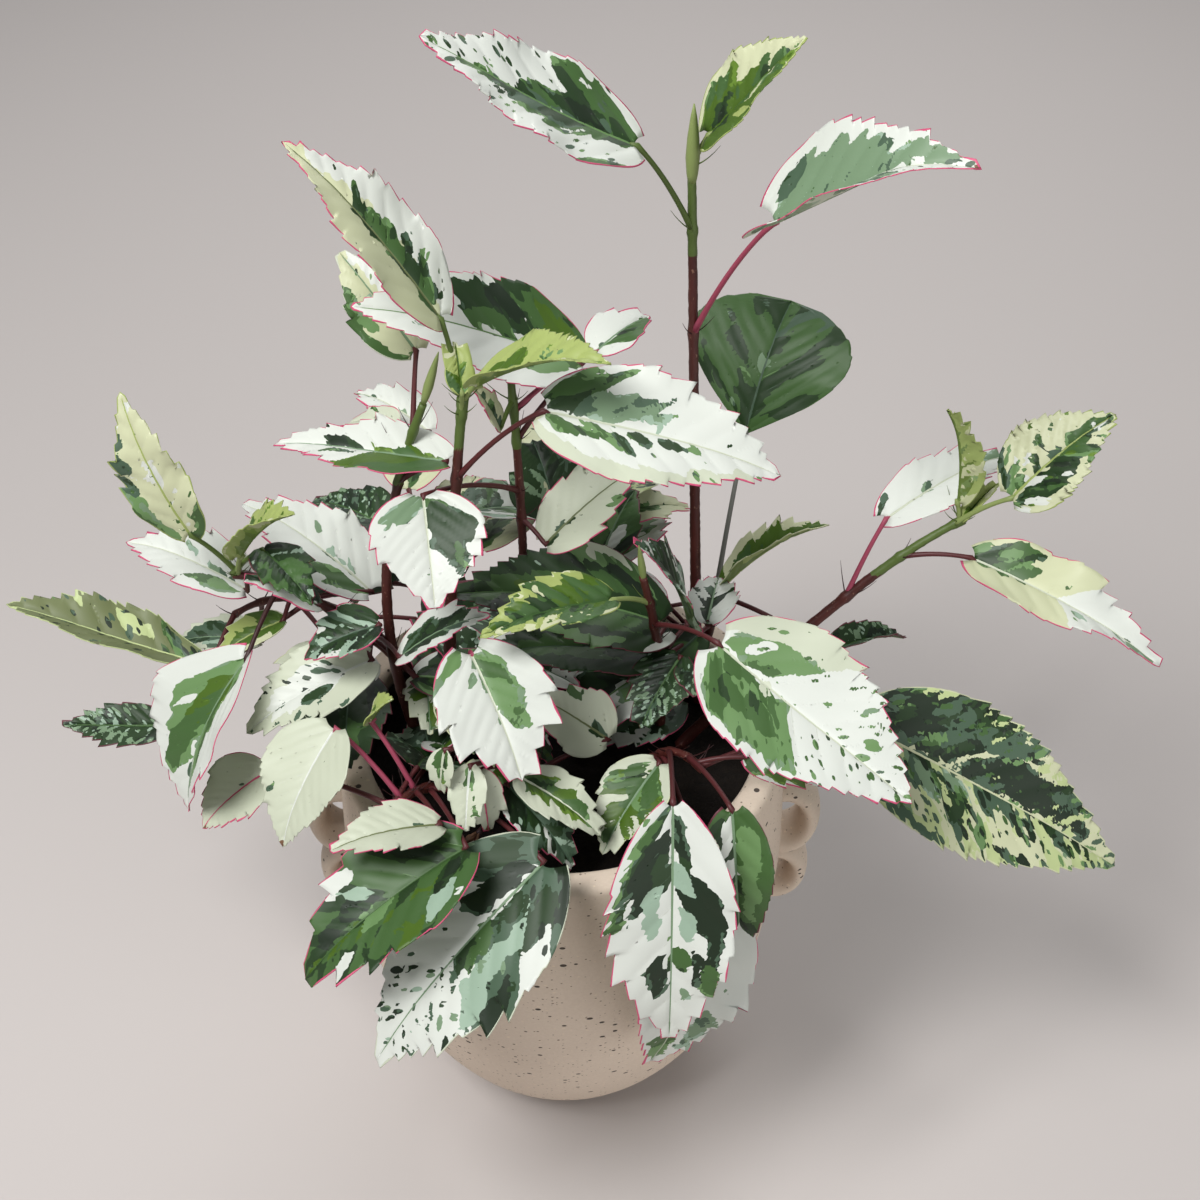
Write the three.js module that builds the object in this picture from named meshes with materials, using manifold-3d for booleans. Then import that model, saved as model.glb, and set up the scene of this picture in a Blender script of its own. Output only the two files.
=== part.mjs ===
// A variegated hibiscus shrub, about 45 cm tall, in a round stoneware pot with a double-looped handle
// on each side. Millimetres, +Z up. The origin is the centre of the pot's flat underside, X runs to the
// right of someone who faces the plant and Y away from them.
import * as THREE from "three";
import { mergeVertices } from "three/addons/utils/BufferGeometryUtils.js";
import Module from "manifold-3d";

const wasm = await Module();
wasm.setup();

// ---------------------------------------------------------------- pot and handles
const POT_HEIGHT = 180;
const POT_RADIUS = 87.5; // at the belly
const RIM_RADIUS = 86;
const BELLY_HEIGHT = 130;
const BOWL_DEPTH = 150; // the bowl is an ellipse this deep, cut flat for the foot
const WALL = 11;
const FLOOR = 16;
const LIP = 3; // rounding of the rim's edges
const POT_SIDES = 36;
const OUTSIDE_STEPS = 9; // of the wall's profile
const INSIDE_STEPS = 6;
const HANDLE_SEGMENTS = 12;
const SOIL_TOP = 159.7;
const GAP = 0.3; // clear space between neighbouring pieces

const STRAP = 8; // thickness of a handle's clay strap
const STRAP_WIDTH = 22;
const STRAP_BEVEL = 2;
// The two rings of a handle, one above the other: the centre's distance from the pot's axis and height,
// and half the ring's width and height.
const HANDLE_RINGS = [
  { out: 88, up: 134, wide: 15, high: 19 },
  { out: 86, up: 104, wide: 14, high: 16 },
];
const RIGHT_HANDLE_HEADING = 0;
const LEFT_HANDLE_HEADING = 180;

// ---------------------------------------------------------------- plant
const SOIL_LINE = SOIL_TOP + GAP;
const LEAF_THICKNESS = 1.1;
const LEAF_STATIONS = [0.03, 0.14, 0.34, 0.58, 0.82, 1];
const LEAF_WIDTH = 0.6; // of its length
const LEAF_FOLD = 12; // degrees that each half rises from the midrib
const LEAF_ARCH = 0.06; // rise of the midrib, of its length
const BASE_ROUNDNESS = 0.55;
const TIP_SHARPNESS = 0.95;
const NARROWEST = 0.035; // of the blade's half width, at its base and tip
const STALK_RADIUS = [1.25, 1];
const STALK_BOW = 0.06; // rise of a leaf stalk's middle, of its length
const STALK_ANGLES = [90, 30, -30, -90, -150, 150].map(THREE.MathUtils.degToRad); // of its six corners
const BUD_SHAPE = [[0, 0.05], [0.3, 0.11], [0.65, 0.08], [1, 0.02]]; // place and radius, of its length
const LIMB_SIDES = 8;
const LIMB_STEPS = 4;
const TWIG_STEPS = 5;
const TWIG_SIDES = 6;
const CLEARANCE = 1.5; // kept between a leaf that the rule adds and other pieces

// Each shoot rises from the soil at root [x, y] to tip [x, y, z], bowed sideways by bow. Its first part, up
// to `bough` of the way, is a bare limb, and the rest is the stem of its mass of foliage.
// A leaf is [place along the shoot, its stalk's [heading, rise, length], its blade's [heading, rise, length],
// roll, width, fold, arch], in degrees, with headings from +X towards +Y. A bud is [place, heading, rise,
// length].
// `more` is how many further leaves the rule tries, round the heading `towards` within `spread` degrees. It
// leaves out each one whose blade would leave the mass's `space`, an ellipsoid, or touch another piece.
const SHOOTS = {
  leader: {
    root: [54, 34], tip: [45, 44, 392], bow: [0, 0, 0], radius: [2.3, 1.5], bough: 0.69,
    leaves: [
      [0.73, [-53, 58, 69], [-34, 38, 74], 18, 0.64, 30, 0],
      [0.9, [-146, 58, 44], [-169, 34, 79], -18, 0.56, 10, -0.04],
      [1, [0, 65, 12], [-28, 53, 50], 36, 0.62, 20, 0],
    ],
    buds: [[0.97, -99, 86, 30]],
  },
  right_arm: {
    root: [46, 8], tip: [148, 22, 262], bow: [8, 2, 16], radius: [2.4, 1.4], bough: 0.48,
    leaves: [
      [0.52, [34, 62, 34], [28, 13, 56], 5, 0.46],
      [0.72, [-13, 9, 26], [-35, -9, 77], 10, 0.4, 20, 0.04],
      [0.95, [-24, 43, 26], [11, 45, 46], 20, 0.74, 14],
      [0.98, [176, 77, 8], [180, 80, 43], 30, 0.4, 40],
      [1, [-120, 8, 2], [43, 21, 22], 0, 0.4, 40],
    ],
  },
  leader_foot: {
    root: [50, 40], tip: [60, 40, 214], bow: [2, 0, 0], radius: [1.9, 1.4], bough: 0.55,
    leaves: [
      [0.9, [70, 61, 67], [60, 51, 53], 6, 1.2, 6, 0.1],
      [0.85, [-61, 67, 14], [-9, 45, 52], 0, 0.36, 40],
      [0.8, [-98, 32, 37], [79, -2, 31]],
      [0.95, [-25, -15, 49], [31, -12, 40], 0, 0.4, 40],
    ],
    more: { count: 24, towards: 50, spread: 150 },
    space: { centre: [74, 66, 174], size: [58, 56, 26] },
  },
  centre: {
    root: [38, 14], tip: [30, -4, 256], bow: [3, 0, 0], radius: [2.4, 1.4], bough: 0.38,
    leaves: [
      [0.45, [-38, 50, 15], [-128, -35, 31], 0, 0.8],
      [0.5, [-24, 16, 13], [-62, 1, 34], 0, 0.7],
      [0.5, [40, 35, 18], [-149, 65, 54], -20],
      [0.62, [71, -12, 14], [-173, 18, 84], -10],
      [0.5, [101, -30, 8], [-171, 10, 66]],
      [0.72, [-54, 25, 40], [-40, -15, 87], 12, 0.66, 10, -0.03],
      [0.85, [-137, 33, 22], [-154, 4, 51], -10, 0.5, 25],
    ],
    buds: [[0.98, -137, 81, 18]],
  },
  front_right: {
    root: [26, -14], tip: [52, -42, 196], bow: [0, 0, 14], radius: [2, 1.2], bough: 0.22,
    leaves: [
      [0.3, [-82, 42, 24], [-129, -30, 39], 0, 0.7],
      [0.55, [-91, 27, 57], [-90, -70, 95], 0, 0.46],
      [0.45, [-74, -15, 62], [-145, -73, 82], -72, 0.54],
      [0.8, [-70, 16, 41], [-70, -76, 63], 20, 0.42],
      [0.9, [-3, 13, 18], [-13, -10, 30], 15],
      [0.95, [18, 2, 64], [-15, -25, 113], 32, 0.5, 8, 0.03],
    ],
  },
  front_low: {
    root: [-10, -22], tip: [-8, -44, 206], bow: [0, 0, 6], radius: [2, 1.2], bough: 0.14,
    leaves: [
      [0.2, [-112, 44, 35], [-39, -34, 38]],
      [0.3, [-101, 46, 35], [-31, -17, 36]],
      [0.4, [22, 12, 30], [159, 25, 30], -30, 0.9],
      [0.5, [-129, 39, 44], [-96, -48, 23]],
      [0.45, [-129, 38, 38], [-73, -60, 23]],
      [0.6, [178, 42, 45], [-27, -31, 42]],
      [0.8, [157, 60, 49], [-62, -33, 49], 0, 0.84, 8],
      [0.9, [-147, 32, 43], [-117, -75, 17]],
    ],
  },
  front_left: {
    root: [-32, -26], tip: [-60, -62, 196], bow: [0, 0, 12], radius: [2, 1.2], bough: 0.22,
    leaves: [
      [0.3, [-53, 13, 61], [-148, -40, 94], -10, 0.62, 2, 0.04],
      [0.55, [-66, 11, 40], [-152, -27, 72], -5, 0.64],
      [0.7, [-66, 19, 29], [-159, 5, 39]],
      [0.85, [151, 41, 35], [-125, -42, 46], 10, 0.86],
      [0.95, [152, -8, 56], [-149, -27, 32], 0, 1],
    ],
  },
  left_arm: {
    root: [-40, 26], tip: [-120, 10, 246], bow: [-6, 0, 18], radius: [2.4, 1.4], bough: 0.3,
    leaves: [
      [0.35, [-67, 29, 46], [-3, 35, 40]],
      [0.4, [-67, 40, 44], [-164, -17, 30], 0, 0.9],
      [0.5, [-57, -2, 31], [-155, -17, 53], -10],
      [0.6, [29, -15, 25], [151, 22, 62]],
      [0.72, [-52, 16, 27], [-175, 32, 29]],
      [0.74, [-110, -22, 32], [-136, -55, 64], 18, 1, 18, 0.08],
      [0.92, [107, -61, 15], [161, 14, 51]],
      [0.96, [-156, 57, 27], [162, 71, 59], -80, 0.42, 8, 0.06],
      [0.97, [-64, 58, 17], [-24, 49, 38], 0, 0.6, 30],
      [1, [-17, 47, 20], [-51, -6, 33]],
    ],
  },
  left_low: {
    root: [-52, 36], tip: [-128, 34, 206], bow: [0, 0, 26], radius: [2, 1.2], bough: 0.52,
    leaves: [
      [0.6, [-156, -35, 75], [-174, 7, 42], -25, 0.42, 12, -0.03],
      [0.7, [-99, -12, 11], [-160, -22, 31]],
      [0.85, [124, -75, 26], [173, -6, 38], 0, 0.6],
      [1, [-109, -23, 23], [175, 21, 80], 0, 0.34, 28, -0.02],
    ],
  },
  left_upright: {
    root: [-54, 4], tip: [-46, 14, 318], bow: [-14, 0, 0], radius: [2.4, 1.4], bough: 0.75,
    leaves: [
      [0.8, [-25, 36, 26], [164, -2, 65], -2, 0.44, 12, 0],
      [0.86, [77, -15, 29], [144, 8, 35]],
      [0.84, [101, 18, 18], [152, -13, 22], 0, 0.8],
      [0.93, [91, 20, 35], [146, 43, 44], -35, 0.6],
    ],
    buds: [[1, 0, 73, 22]],
  },
  upper_left: {
    root: [-44, 4], tip: [-31, 0, 330], bow: [-2, 0, 0], radius: [2.8, 1.6], bough: 0.76,
    leaves: [
      [0.8, [-28, 48, 53], [-10, -10, 80], 20, 0.56, 10, 0.03],
      [1, [136, 72, 28], [167, 52, 75], -10, 0.46, 14, 0.03],
      [0.99, [-49, 52, 13], [-29, 28, 56], 0, 0.5, 25],
      [0.96, [-78, 69, 12], [102, 53, 17]],
    ],
  },
  upper_back: {
    root: [-16, 30], tip: [-17, 36, 316], bow: [2, 0, 0], radius: [2, 1.4], bough: 0.54,
    leaves: [
      [0.6, [-46, -21, 14], [25, 33, 46], 15],
      [0.68, [-127, 29, 59], [-81, -35, 40], 0, 0.98, 12],
      [0.82, [25, 44, 37], [-167, 25, 87], -20, 0.54, 12, 0.03],
      [0.9, [26, 26, 36], [38, 15, 26], 0, 0.9],
      [0.93, [-110, -21, 13], [169, 61, 21]],
    ],
    buds: [[1, 180, 84, 11]],
  },
  back_left: {
    root: [-36, 44], tip: [-62, 84, 220], bow: [0, 0, 4], radius: [2, 1.4], bough: 0.3,
    leaves: [],
    more: { count: 40, towards: 120, spread: 300 },
    space: { centre: [-58, 84, 204], size: [72, 74, 62] },
  },
  back_mid: {
    root: [0, 46], tip: [4, 76, 224], bow: [0, 0, 4], radius: [2, 1.4], bough: 0.3,
    leaves: [
      [0.95, [-102, 40, 38], [115, 48, 30], 0, 1.1, 8],
      [0.9, [-60, 5, 24], [59, 34, 30], 0, 0.8],
    ],
    more: { count: 40, towards: 85, spread: 300 },
    space: { centre: [0, 90, 198], size: [62, 74, 58] },
  },
};

// How the rule grows a further leaf, from shortest or lowest to longest or highest.
const MORE_SEED = 7;
const MORE_STALK_RISE = [0, 40];
const MORE_STALK_LENGTH = [12, 30];
const MORE_BLADE_RISE = [-45, 5];
const MORE_BLADE_LENGTH = [40, 60];
const MORE_TURN = 30;
const GOLDEN_ANGLE = 137.5;

// ---------------------------------------------------------------- colours
const stoneware = new THREE.MeshStandardMaterial({ color: 0xc4a68a, roughness: 0.85 });
const earth = new THREE.MeshStandardMaterial({ color: 0x17130f, roughness: 1 });
const bark = new THREE.MeshStandardMaterial({ color: 0x4a1f24, roughness: 0.6 });
const foliage = new THREE.MeshStandardMaterial({ color: 0x8fa37a, roughness: 0.6, side: THREE.DoubleSide });

// ---------------------------------------------------------------- solids
function solidOf(geometry) {
  const bare = geometry.clone();
  bare.deleteAttribute("normal");
  bare.deleteAttribute("uv");
  const merged = mergeVertices(bare, 1e-4);
  return new wasm.Manifold(
    new wasm.Mesh({
      numProp: 3,
      vertProperties: merged.attributes.position.array,
      triVerts: new Uint32Array(merged.index.array),
    }),
  );
}

function geometryOf(solid) {
  const mesh = solid.getMesh();
  return new THREE.BufferGeometry()
    .setAttribute("position", new THREE.BufferAttribute(mesh.vertProperties, 3))
    .setIndex(new THREE.BufferAttribute(mesh.triVerts, 1));
}

const root = new THREE.Group();

function addNode(name, geometry, material) {
  geometry.computeVertexNormals();
  const mesh = new THREE.Mesh(geometry, material);
  mesh.name = name;
  root.add(mesh);
}

// A closed skin over rings of points, each ring in the same order, with a flat cap at each end.
function loft(rings) {
  const around = rings[0].length;
  const positions = rings.flat().flatMap((p) => [p.x, p.y, p.z]);
  const faces = [];
  for (let i = 0; i + 1 < rings.length; i++) {
    for (let k = 0; k < around; k++) {
      const a = i * around + k;
      const b = i * around + ((k + 1) % around);
      faces.push(a, b, b + around, a, b + around, a + around);
    }
  }
  const last = (rings.length - 1) * around;
  for (let k = 1; k + 1 < around; k++) {
    faces.push(0, k + 1, k);
    faces.push(last, last + k, last + k + 1);
  }
  return new THREE.BufferGeometry()
    .setAttribute("position", new THREE.Float32BufferAttribute(positions, 3))
    .setIndex(faces);
}

const mix = (a, b, t) => a + (b - a) * t;

function direction(heading, rise) {
  const h = THREE.MathUtils.degToRad(heading);
  const r = THREE.MathUtils.degToRad(rise);
  return new THREE.Vector3(Math.cos(r) * Math.cos(h), Math.cos(r) * Math.sin(h), Math.sin(r));
}

// A round limb along points, with a radius for each. levelFoot cuts its first end level.
function limb(points, radii, sides, levelFoot = false) {
  const first = points[1].clone().sub(points[0]).normalize();
  const level = Math.abs(first.x) > Math.abs(first.y);
  const side = level ? new THREE.Vector3(0, 1, 0) : new THREE.Vector3(1, 0, 0);
  const rings = points.map((p, i) => {
    const tangent = points[Math.min(i + 1, points.length - 1)].clone().sub(points[Math.max(i - 1, 0)]);
    if (levelFoot && i === 0) tangent.set(0, 0, 1);
    tangent.normalize();
    const u = side.clone().addScaledVector(tangent, -side.dot(tangent)).normalize();
    const v = tangent.clone().cross(u);
    return Array.from({ length: sides }, (_, k) => {
      const angle = (2 * Math.PI * k) / sides;
      const [across, beside] = [radii[i] * Math.cos(angle), radii[i] * Math.sin(angle)];
      return p.clone().addScaledVector(u, across).addScaledVector(v, beside);
    });
  });
  return loft(rings);
}

// ---------------------------------------------------------------- pot
// Radius of the bowl's outside at a height, for a bowl of this belly radius.
function bowlRadius(height, belly) {
  const down = (BELLY_HEIGHT - Math.min(height, BELLY_HEIGHT)) / BOWL_DEPTH;
  return belly * Math.sqrt(1 - down * down);
}

// The wall's profile from one height to another: the bowl, then a straight neck up to the rim's radius `top`.
function bowlWall(belly, top, from, to, steps) {
  return Array.from({ length: steps + 1 }, (_, i) => {
    const height = mix(from, to, i / steps);
    const above = Math.max(0, height - BELLY_HEIGHT) / (POT_HEIGHT - BELLY_HEIGHT);
    return new THREE.Vector2(bowlRadius(height, belly) + (top - belly) * above, height);
  });
}

function lathe(profile) {
  const geometry = new THREE.LatheGeometry(profile, POT_SIDES);
  return geometry.rotateX(Math.PI / 2);
}

function potGeometry() {
  const outer = bowlWall(POT_RADIUS, RIM_RADIUS, LIP, POT_HEIGHT - LIP, OUTSIDE_STEPS);
  const inner = bowlWall(POT_RADIUS - WALL, RIM_RADIUS - WALL, FLOOR, POT_HEIGHT - LIP, INSIDE_STEPS);
  return lathe([
    new THREE.Vector2(0, 0),
    new THREE.Vector2(bowlRadius(0, POT_RADIUS) - LIP, 0),
    ...outer,
    new THREE.Vector2(RIM_RADIUS - LIP, POT_HEIGHT),
    new THREE.Vector2(RIM_RADIUS - WALL + LIP, POT_HEIGHT),
    ...inner.reverse(),
    new THREE.Vector2(0, FLOOR),
  ]);
}

function soilGeometry() {
  const belly = POT_RADIUS - WALL - 2 * GAP;
  const top = RIM_RADIUS - WALL - 2 * GAP;
  const wall = bowlWall(belly, top, FLOOR + GAP, SOIL_TOP, INSIDE_STEPS);
  return lathe([new THREE.Vector2(0, FLOOR + GAP), ...wall, new THREE.Vector2(0, SOIL_TOP)]);
}

// One handle: two clay rings side by side up the wall, cut to fit the wall.
function handleGeometry(heading) {
  const rings = HANDLE_RINGS.map(({ out, up, wide, high }) => {
    const shape = new THREE.Shape();
    shape.absellipse(out, up, wide - STRAP_BEVEL, high - STRAP_BEVEL, 0, 2 * Math.PI);
    const hole = new THREE.Path();
    hole.absellipse(out, up, wide - STRAP + STRAP_BEVEL, high - STRAP + STRAP_BEVEL, 0, 2 * Math.PI, true);
    shape.holes.push(hole);
    const ring = new THREE.ExtrudeGeometry(shape, {
      depth: STRAP_WIDTH - 2 * STRAP_BEVEL,
      bevelSize: STRAP_BEVEL,
      bevelThickness: STRAP_BEVEL,
      bevelSegments: 1,
      curveSegments: HANDLE_SEGMENTS,
    });
    ring.translate(0, 0, -STRAP_WIDTH / 2 + STRAP_BEVEL).rotateX(Math.PI / 2);
    return solidOf(ring);
  });
  const outside = bowlWall(POT_RADIUS + 2 * GAP, RIM_RADIUS + 2 * GAP, 0, POT_HEIGHT, OUTSIDE_STEPS);
  const body = lathe([new THREE.Vector2(0, 0), ...outside, new THREE.Vector2(0, POT_HEIGHT)]);
  const handle = wasm.Manifold.union(rings).subtract(solidOf(body));
  return geometryOf(handle).rotateZ(THREE.MathUtils.degToRad(heading));
}

// ---------------------------------------------------------------- leaves
// Half width of a blade, of its widest, along its length: rounded at the base and drawn out at the tip.
function leafOutline(s) {
  const shape = (t) => Math.pow(t, BASE_ROUNDNESS) * Math.pow(1 - t, TIP_SHARPNESS);
  return Math.max(NARROWEST, shape(s) / shape(BASE_ROUNDNESS / (BASE_ROUNDNESS + TIP_SHARPNESS)));
}

// The blade's own axes: along its chord, to its right, and up from its face.
function leafAxes(along, roll) {
  const up = new THREE.Vector3(0, 0, 1).addScaledVector(along, -along.z).normalize();
  up.applyAxisAngle(along, THREE.MathUtils.degToRad(roll));
  return { up, right: along.clone().cross(up) };
}

// A leaf from a node on the stem, as the rings of its stalk and of its blade. extra makes it thicker.
function leafRings(node, leaf, extra = 0) {
  const [, stalk, blade, roll = 0, width = LEAF_WIDTH, fold = LEAF_FOLD, arch = LEAF_ARCH] = leaf;
  const [toBase, toTip] = [direction(...stalk), direction(...blade)];
  const { up, right } = leafAxes(toTip, roll);
  const base = node.clone().addScaledVector(toBase, stalk[2]);
  const stalkRing = (centre, along, radius) => {
    const turn = new THREE.Quaternion().setFromUnitVectors(toTip, along);
    const [u, r] = [up.clone().applyQuaternion(turn), right.clone().applyQuaternion(turn)];
    return STALK_ANGLES.map((angle) => {
      const corner = centre.clone().addScaledVector(u, radius * Math.sin(angle));
      return corner.addScaledVector(r, radius * Math.cos(angle));
    });
  };
  const middle = node.clone().lerp(base, 0.5);
  middle.z += STALK_BOW * stalk[2];
  const stalkRings = [
    stalkRing(node, toBase, STALK_RADIUS[0] + extra),
    stalkRing(middle, toBase, mix(...STALK_RADIUS, 0.5) + extra),
    stalkRing(base, toBase.clone().add(toTip).normalize(), STALK_RADIUS[1] + extra),
  ];
  const lift = THREE.MathUtils.degToRad(fold);
  const length = blade[2];
  const bladeRings = LEAF_STATIONS.map((s) => {
    const half = (leafOutline(s) * width * length) / 2 + extra;
    const mid = base.clone().addScaledVector(toTip, s * (length + extra));
    mid.addScaledVector(up, arch * length * 4 * s * (1 - s) + LEAF_THICKNESS / 2 + extra);
    const [across, raised] = [half * Math.cos(lift), half * Math.sin(lift)];
    const edge = (way) => mid.clone().addScaledVector(right, way * across).addScaledVector(up, raised);
    const top = [mid, edge(1), edge(-1)];
    const under = top.map((p) => p.clone().addScaledVector(up, -LEAF_THICKNESS - 2 * extra));
    return [top[0], top[1], under[1], under[0], under[2], top[2]];
  });
  return { stalkRings, bladeRings };
}

function leafSolid(node, leaf, extra = 0) {
  const { stalkRings, bladeRings } = leafRings(node, leaf, extra);
  return solidOf(loft([...stalkRings, ...bladeRings]));
}

// A closed leaf bud: a slim spindle.
function budSolid(node, [, heading, rise, length]) {
  const along = direction(heading, rise);
  const points = BUD_SHAPE.map(([place]) => node.clone().addScaledVector(along, place * length));
  const radii = BUD_SHAPE.map(([, radius]) => radius * length);
  return solidOf(limb(points, radii, TWIG_SIDES));
}

// ---------------------------------------------------------------- shoots
// The point at a place t along a shoot, from 0 at the soil to 1 at its tip.
function shootPoint({ root: [x, y], tip, bow }, t) {
  const point = new THREE.Vector3(x, y, SOIL_LINE).lerp(new THREE.Vector3(...tip), t);
  return point.addScaledVector(new THREE.Vector3(...bow), 4 * t * (1 - t));
}

function shootLimb(shoot, from, to, steps, sides) {
  const places = Array.from({ length: steps + 1 }, (_, i) => mix(from, to, i / steps));
  const points = places.map((t) => shootPoint(shoot, t));
  const radii = places.map((t) => mix(...shoot.radius, t));
  return limb(points, radii, sides, from === 0);
}

// Repeatable numbers from 0 to 1.
function random(seed) {
  let state = seed;
  return () => {
    state = (state + 0x6d2b79f5) | 0;
    let t = Math.imul(state ^ (state >>> 15), 1 | state);
    t = (t + Math.imul(t ^ (t >>> 7), 61 | t)) ^ t;
    return ((t ^ (t >>> 14)) >>> 0) / 4294967296;
  };
}

// The leaves that the rule proposes for a shoot: spaced up its stem, turning by the golden angle.
function proposedLeaves({ bough, more }, dice) {
  if (!more) return [];
  return Array.from({ length: more.count }, (_, k) => {
    const at = mix(bough, 1, (k + 1) / more.count);
    const turn = ((k * GOLDEN_ANGLE) % 360) / 360 - 0.5;
    const heading = more.towards + turn * more.spread;
    const stalk = [heading, mix(...MORE_STALK_RISE, dice()), mix(...MORE_STALK_LENGTH, dice())];
    const blade = [
      heading + mix(-MORE_TURN, MORE_TURN, dice()),
      mix(...MORE_BLADE_RISE, dice()),
      mix(...MORE_BLADE_LENGTH, dice()),
    ];
    return [at, stalk, blade];
  });
}

// Whether every point of these rings is in the ellipsoid.
function inSpace({ centre, size }, rings) {
  const middle = new THREE.Vector3(...centre);
  const reach = new THREE.Vector3(...size);
  return rings.flat().every((p) => p.clone().sub(middle).divide(reach).length() <= 1);
}

addNode("pot", potGeometry(), stoneware);
addNode("soil", soilGeometry(), earth);
addNode("right_handle", handleGeometry(RIGHT_HANDLE_HEADING), stoneware);
addNode("left_handle", handleGeometry(LEFT_HANDLE_HEADING), stoneware);

const filledPot = lathe([
  new THREE.Vector2(0, 0),
  new THREE.Vector2(RIM_RADIUS, 0),
  new THREE.Vector2(RIM_RADIUS, SOIL_TOP),
  new THREE.Vector2(0, SOIL_TOP),
]);
const fixed = [solidOf(filledPot)];
const masses = {};
for (const [name, shoot] of Object.entries(SHOOTS)) {
  const length = shootPoint(shoot, 0).distanceTo(shootPoint(shoot, 1));
  const bough = shootLimb(shoot, 0, shoot.bough, LIMB_STEPS, LIMB_SIDES);
  fixed.push(solidOf(bough));
  addNode(name + "_stem", bough, bark);
  const stem = solidOf(shootLimb(shoot, shoot.bough + GAP / length, 1, TWIG_STEPS, TWIG_SIDES));
  const leaves = shoot.leaves.map((leaf) => leafSolid(shootPoint(shoot, leaf[0]), leaf));
  const buds = (shoot.buds ?? []).map((bud) => budSolid(shootPoint(shoot, bud[0]), bud));
  masses[name] = wasm.Manifold.union([stem, ...leaves, ...buds]);
}

const dice = random(MORE_SEED);
for (const [name, shoot] of Object.entries(SHOOTS)) {
  const others = Object.entries(masses).filter(([other]) => other !== name).map(([, solid]) => solid);
  for (const leaf of proposedLeaves(shoot, dice)) {
    const node = shootPoint(shoot, leaf[0]);
    const { stalkRings, bladeRings } = leafRings(node, leaf, CLEARANCE);
    const blade = solidOf(loft(bladeRings));
    const whole = solidOf(loft([...stalkRings, ...bladeRings]));
    if (!inSpace(shoot.space, bladeRings) || !blade.intersect(masses[name]).isEmpty()) continue;
    if ([...fixed, ...others].some((solid) => !solid.intersect(whole).isEmpty())) continue;
    masses[name] = masses[name].add(leafSolid(node, leaf));
  }
  addNode(name + "_foliage", geometryOf(masses[name]), foliage);
}

export default root;
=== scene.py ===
import math

import bpy
import numpy as np
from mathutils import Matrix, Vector


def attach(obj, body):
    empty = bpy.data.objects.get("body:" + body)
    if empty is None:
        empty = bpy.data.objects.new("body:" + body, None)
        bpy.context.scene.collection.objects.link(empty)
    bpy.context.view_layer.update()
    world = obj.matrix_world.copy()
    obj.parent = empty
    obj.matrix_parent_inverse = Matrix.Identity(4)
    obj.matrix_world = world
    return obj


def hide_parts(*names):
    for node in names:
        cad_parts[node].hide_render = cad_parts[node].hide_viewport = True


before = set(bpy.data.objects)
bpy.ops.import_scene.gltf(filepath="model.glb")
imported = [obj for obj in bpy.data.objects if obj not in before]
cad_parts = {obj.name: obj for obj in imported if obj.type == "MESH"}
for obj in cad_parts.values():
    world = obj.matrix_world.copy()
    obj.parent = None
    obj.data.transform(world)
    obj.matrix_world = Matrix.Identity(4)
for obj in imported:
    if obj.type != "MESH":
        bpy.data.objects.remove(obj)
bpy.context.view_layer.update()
MM = 0.001

# ---------------------------------------------------------------- camera
# The viewer stands over the table and looks down on the plant from the front.
CAMERA_PLACE = (0.0147, -0.5149, 0.674)
CAMERA_PITCH = 40  # degrees below level
FIELD_OF_VIEW = 36
view = bpy.data.cameras.new("view")
view.angle = math.radians(FIELD_OF_VIEW)
camera = bpy.data.objects.new("view", view)
camera.location = CAMERA_PLACE
camera.rotation_euler = (math.radians(90 - CAMERA_PITCH), 0, 0)
bpy.context.scene.collection.objects.link(camera)
bpy.context.scene.camera = camera

# ---------------------------------------------------------------- floor and light
# A pale matte floor, a large soft light above on the left, a weaker one on the right, and a bright sky.
FLOOR_SIZE = 6.0
bpy.ops.object.select_all(action="DESELECT")
bpy.ops.mesh.primitive_plane_add(size=FLOOR_SIZE)
floor = bpy.context.object
floor.name = "floor"
floor_paint = bpy.data.materials.new("floor_paint")
floor_paint.use_nodes = True
floor_shader = floor_paint.node_tree.nodes["Principled BSDF"]
floor_shader.inputs["Base Color"].default_value = (0.5, 0.46, 0.44, 1)
floor_shader.inputs["Roughness"].default_value = 0.7
floor.data.materials.append(floor_paint)

LIGHTS = {
    # name: place, size, watts
    "window": ((-0.6, -0.6, 1.5), 0.6, 27),
    "fill": ((0.9, -1.1, 0.6), 1.2, 7),
    "behind": ((0.2, 1.2, 1.2), 1.0, 9),
}
AIM = Vector((0, 0, 0.2))
for name, (place, size, watts) in LIGHTS.items():
    lamp = bpy.data.lights.new(name, "AREA")
    lamp.size = size
    lamp.energy = watts
    light = bpy.data.objects.new(name, lamp)
    light.location = place
    light.rotation_euler = (AIM - Vector(place)).to_track_quat("-Z", "Y").to_euler()
    bpy.context.scene.collection.objects.link(light)
sky = bpy.data.worlds.new("sky")
sky.use_nodes = True
sky.node_tree.nodes["Background"].inputs["Color"].default_value = (0.92, 0.96, 1, 1)
sky.node_tree.nodes["Background"].inputs["Strength"].default_value = 0.24
bpy.context.scene.world = sky
bpy.context.scene.view_settings.view_transform = "Standard"

# ---------------------------------------------------------------- pot
# A thick cast bowl of unglazed speckled stoneware, 18 cm tall, with a rounded belly, a short upright neck
# and a flat rim with softened edges.
POT_HEIGHT = 180
POT_RADIUS = 87.5
RIM_RADIUS = 86
BELLY_HEIGHT = 130
BOWL_DEPTH = 150
WALL = 11
POT_FLOOR = 16
LIP = 3
POT_SIDES = 128
OUTSIDE_STEPS = 26
INSIDE_STEPS = 16
LIP_STEPS = 4
POT_CREASE = 35  # degrees between faces, past which an edge stays sharp


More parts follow.
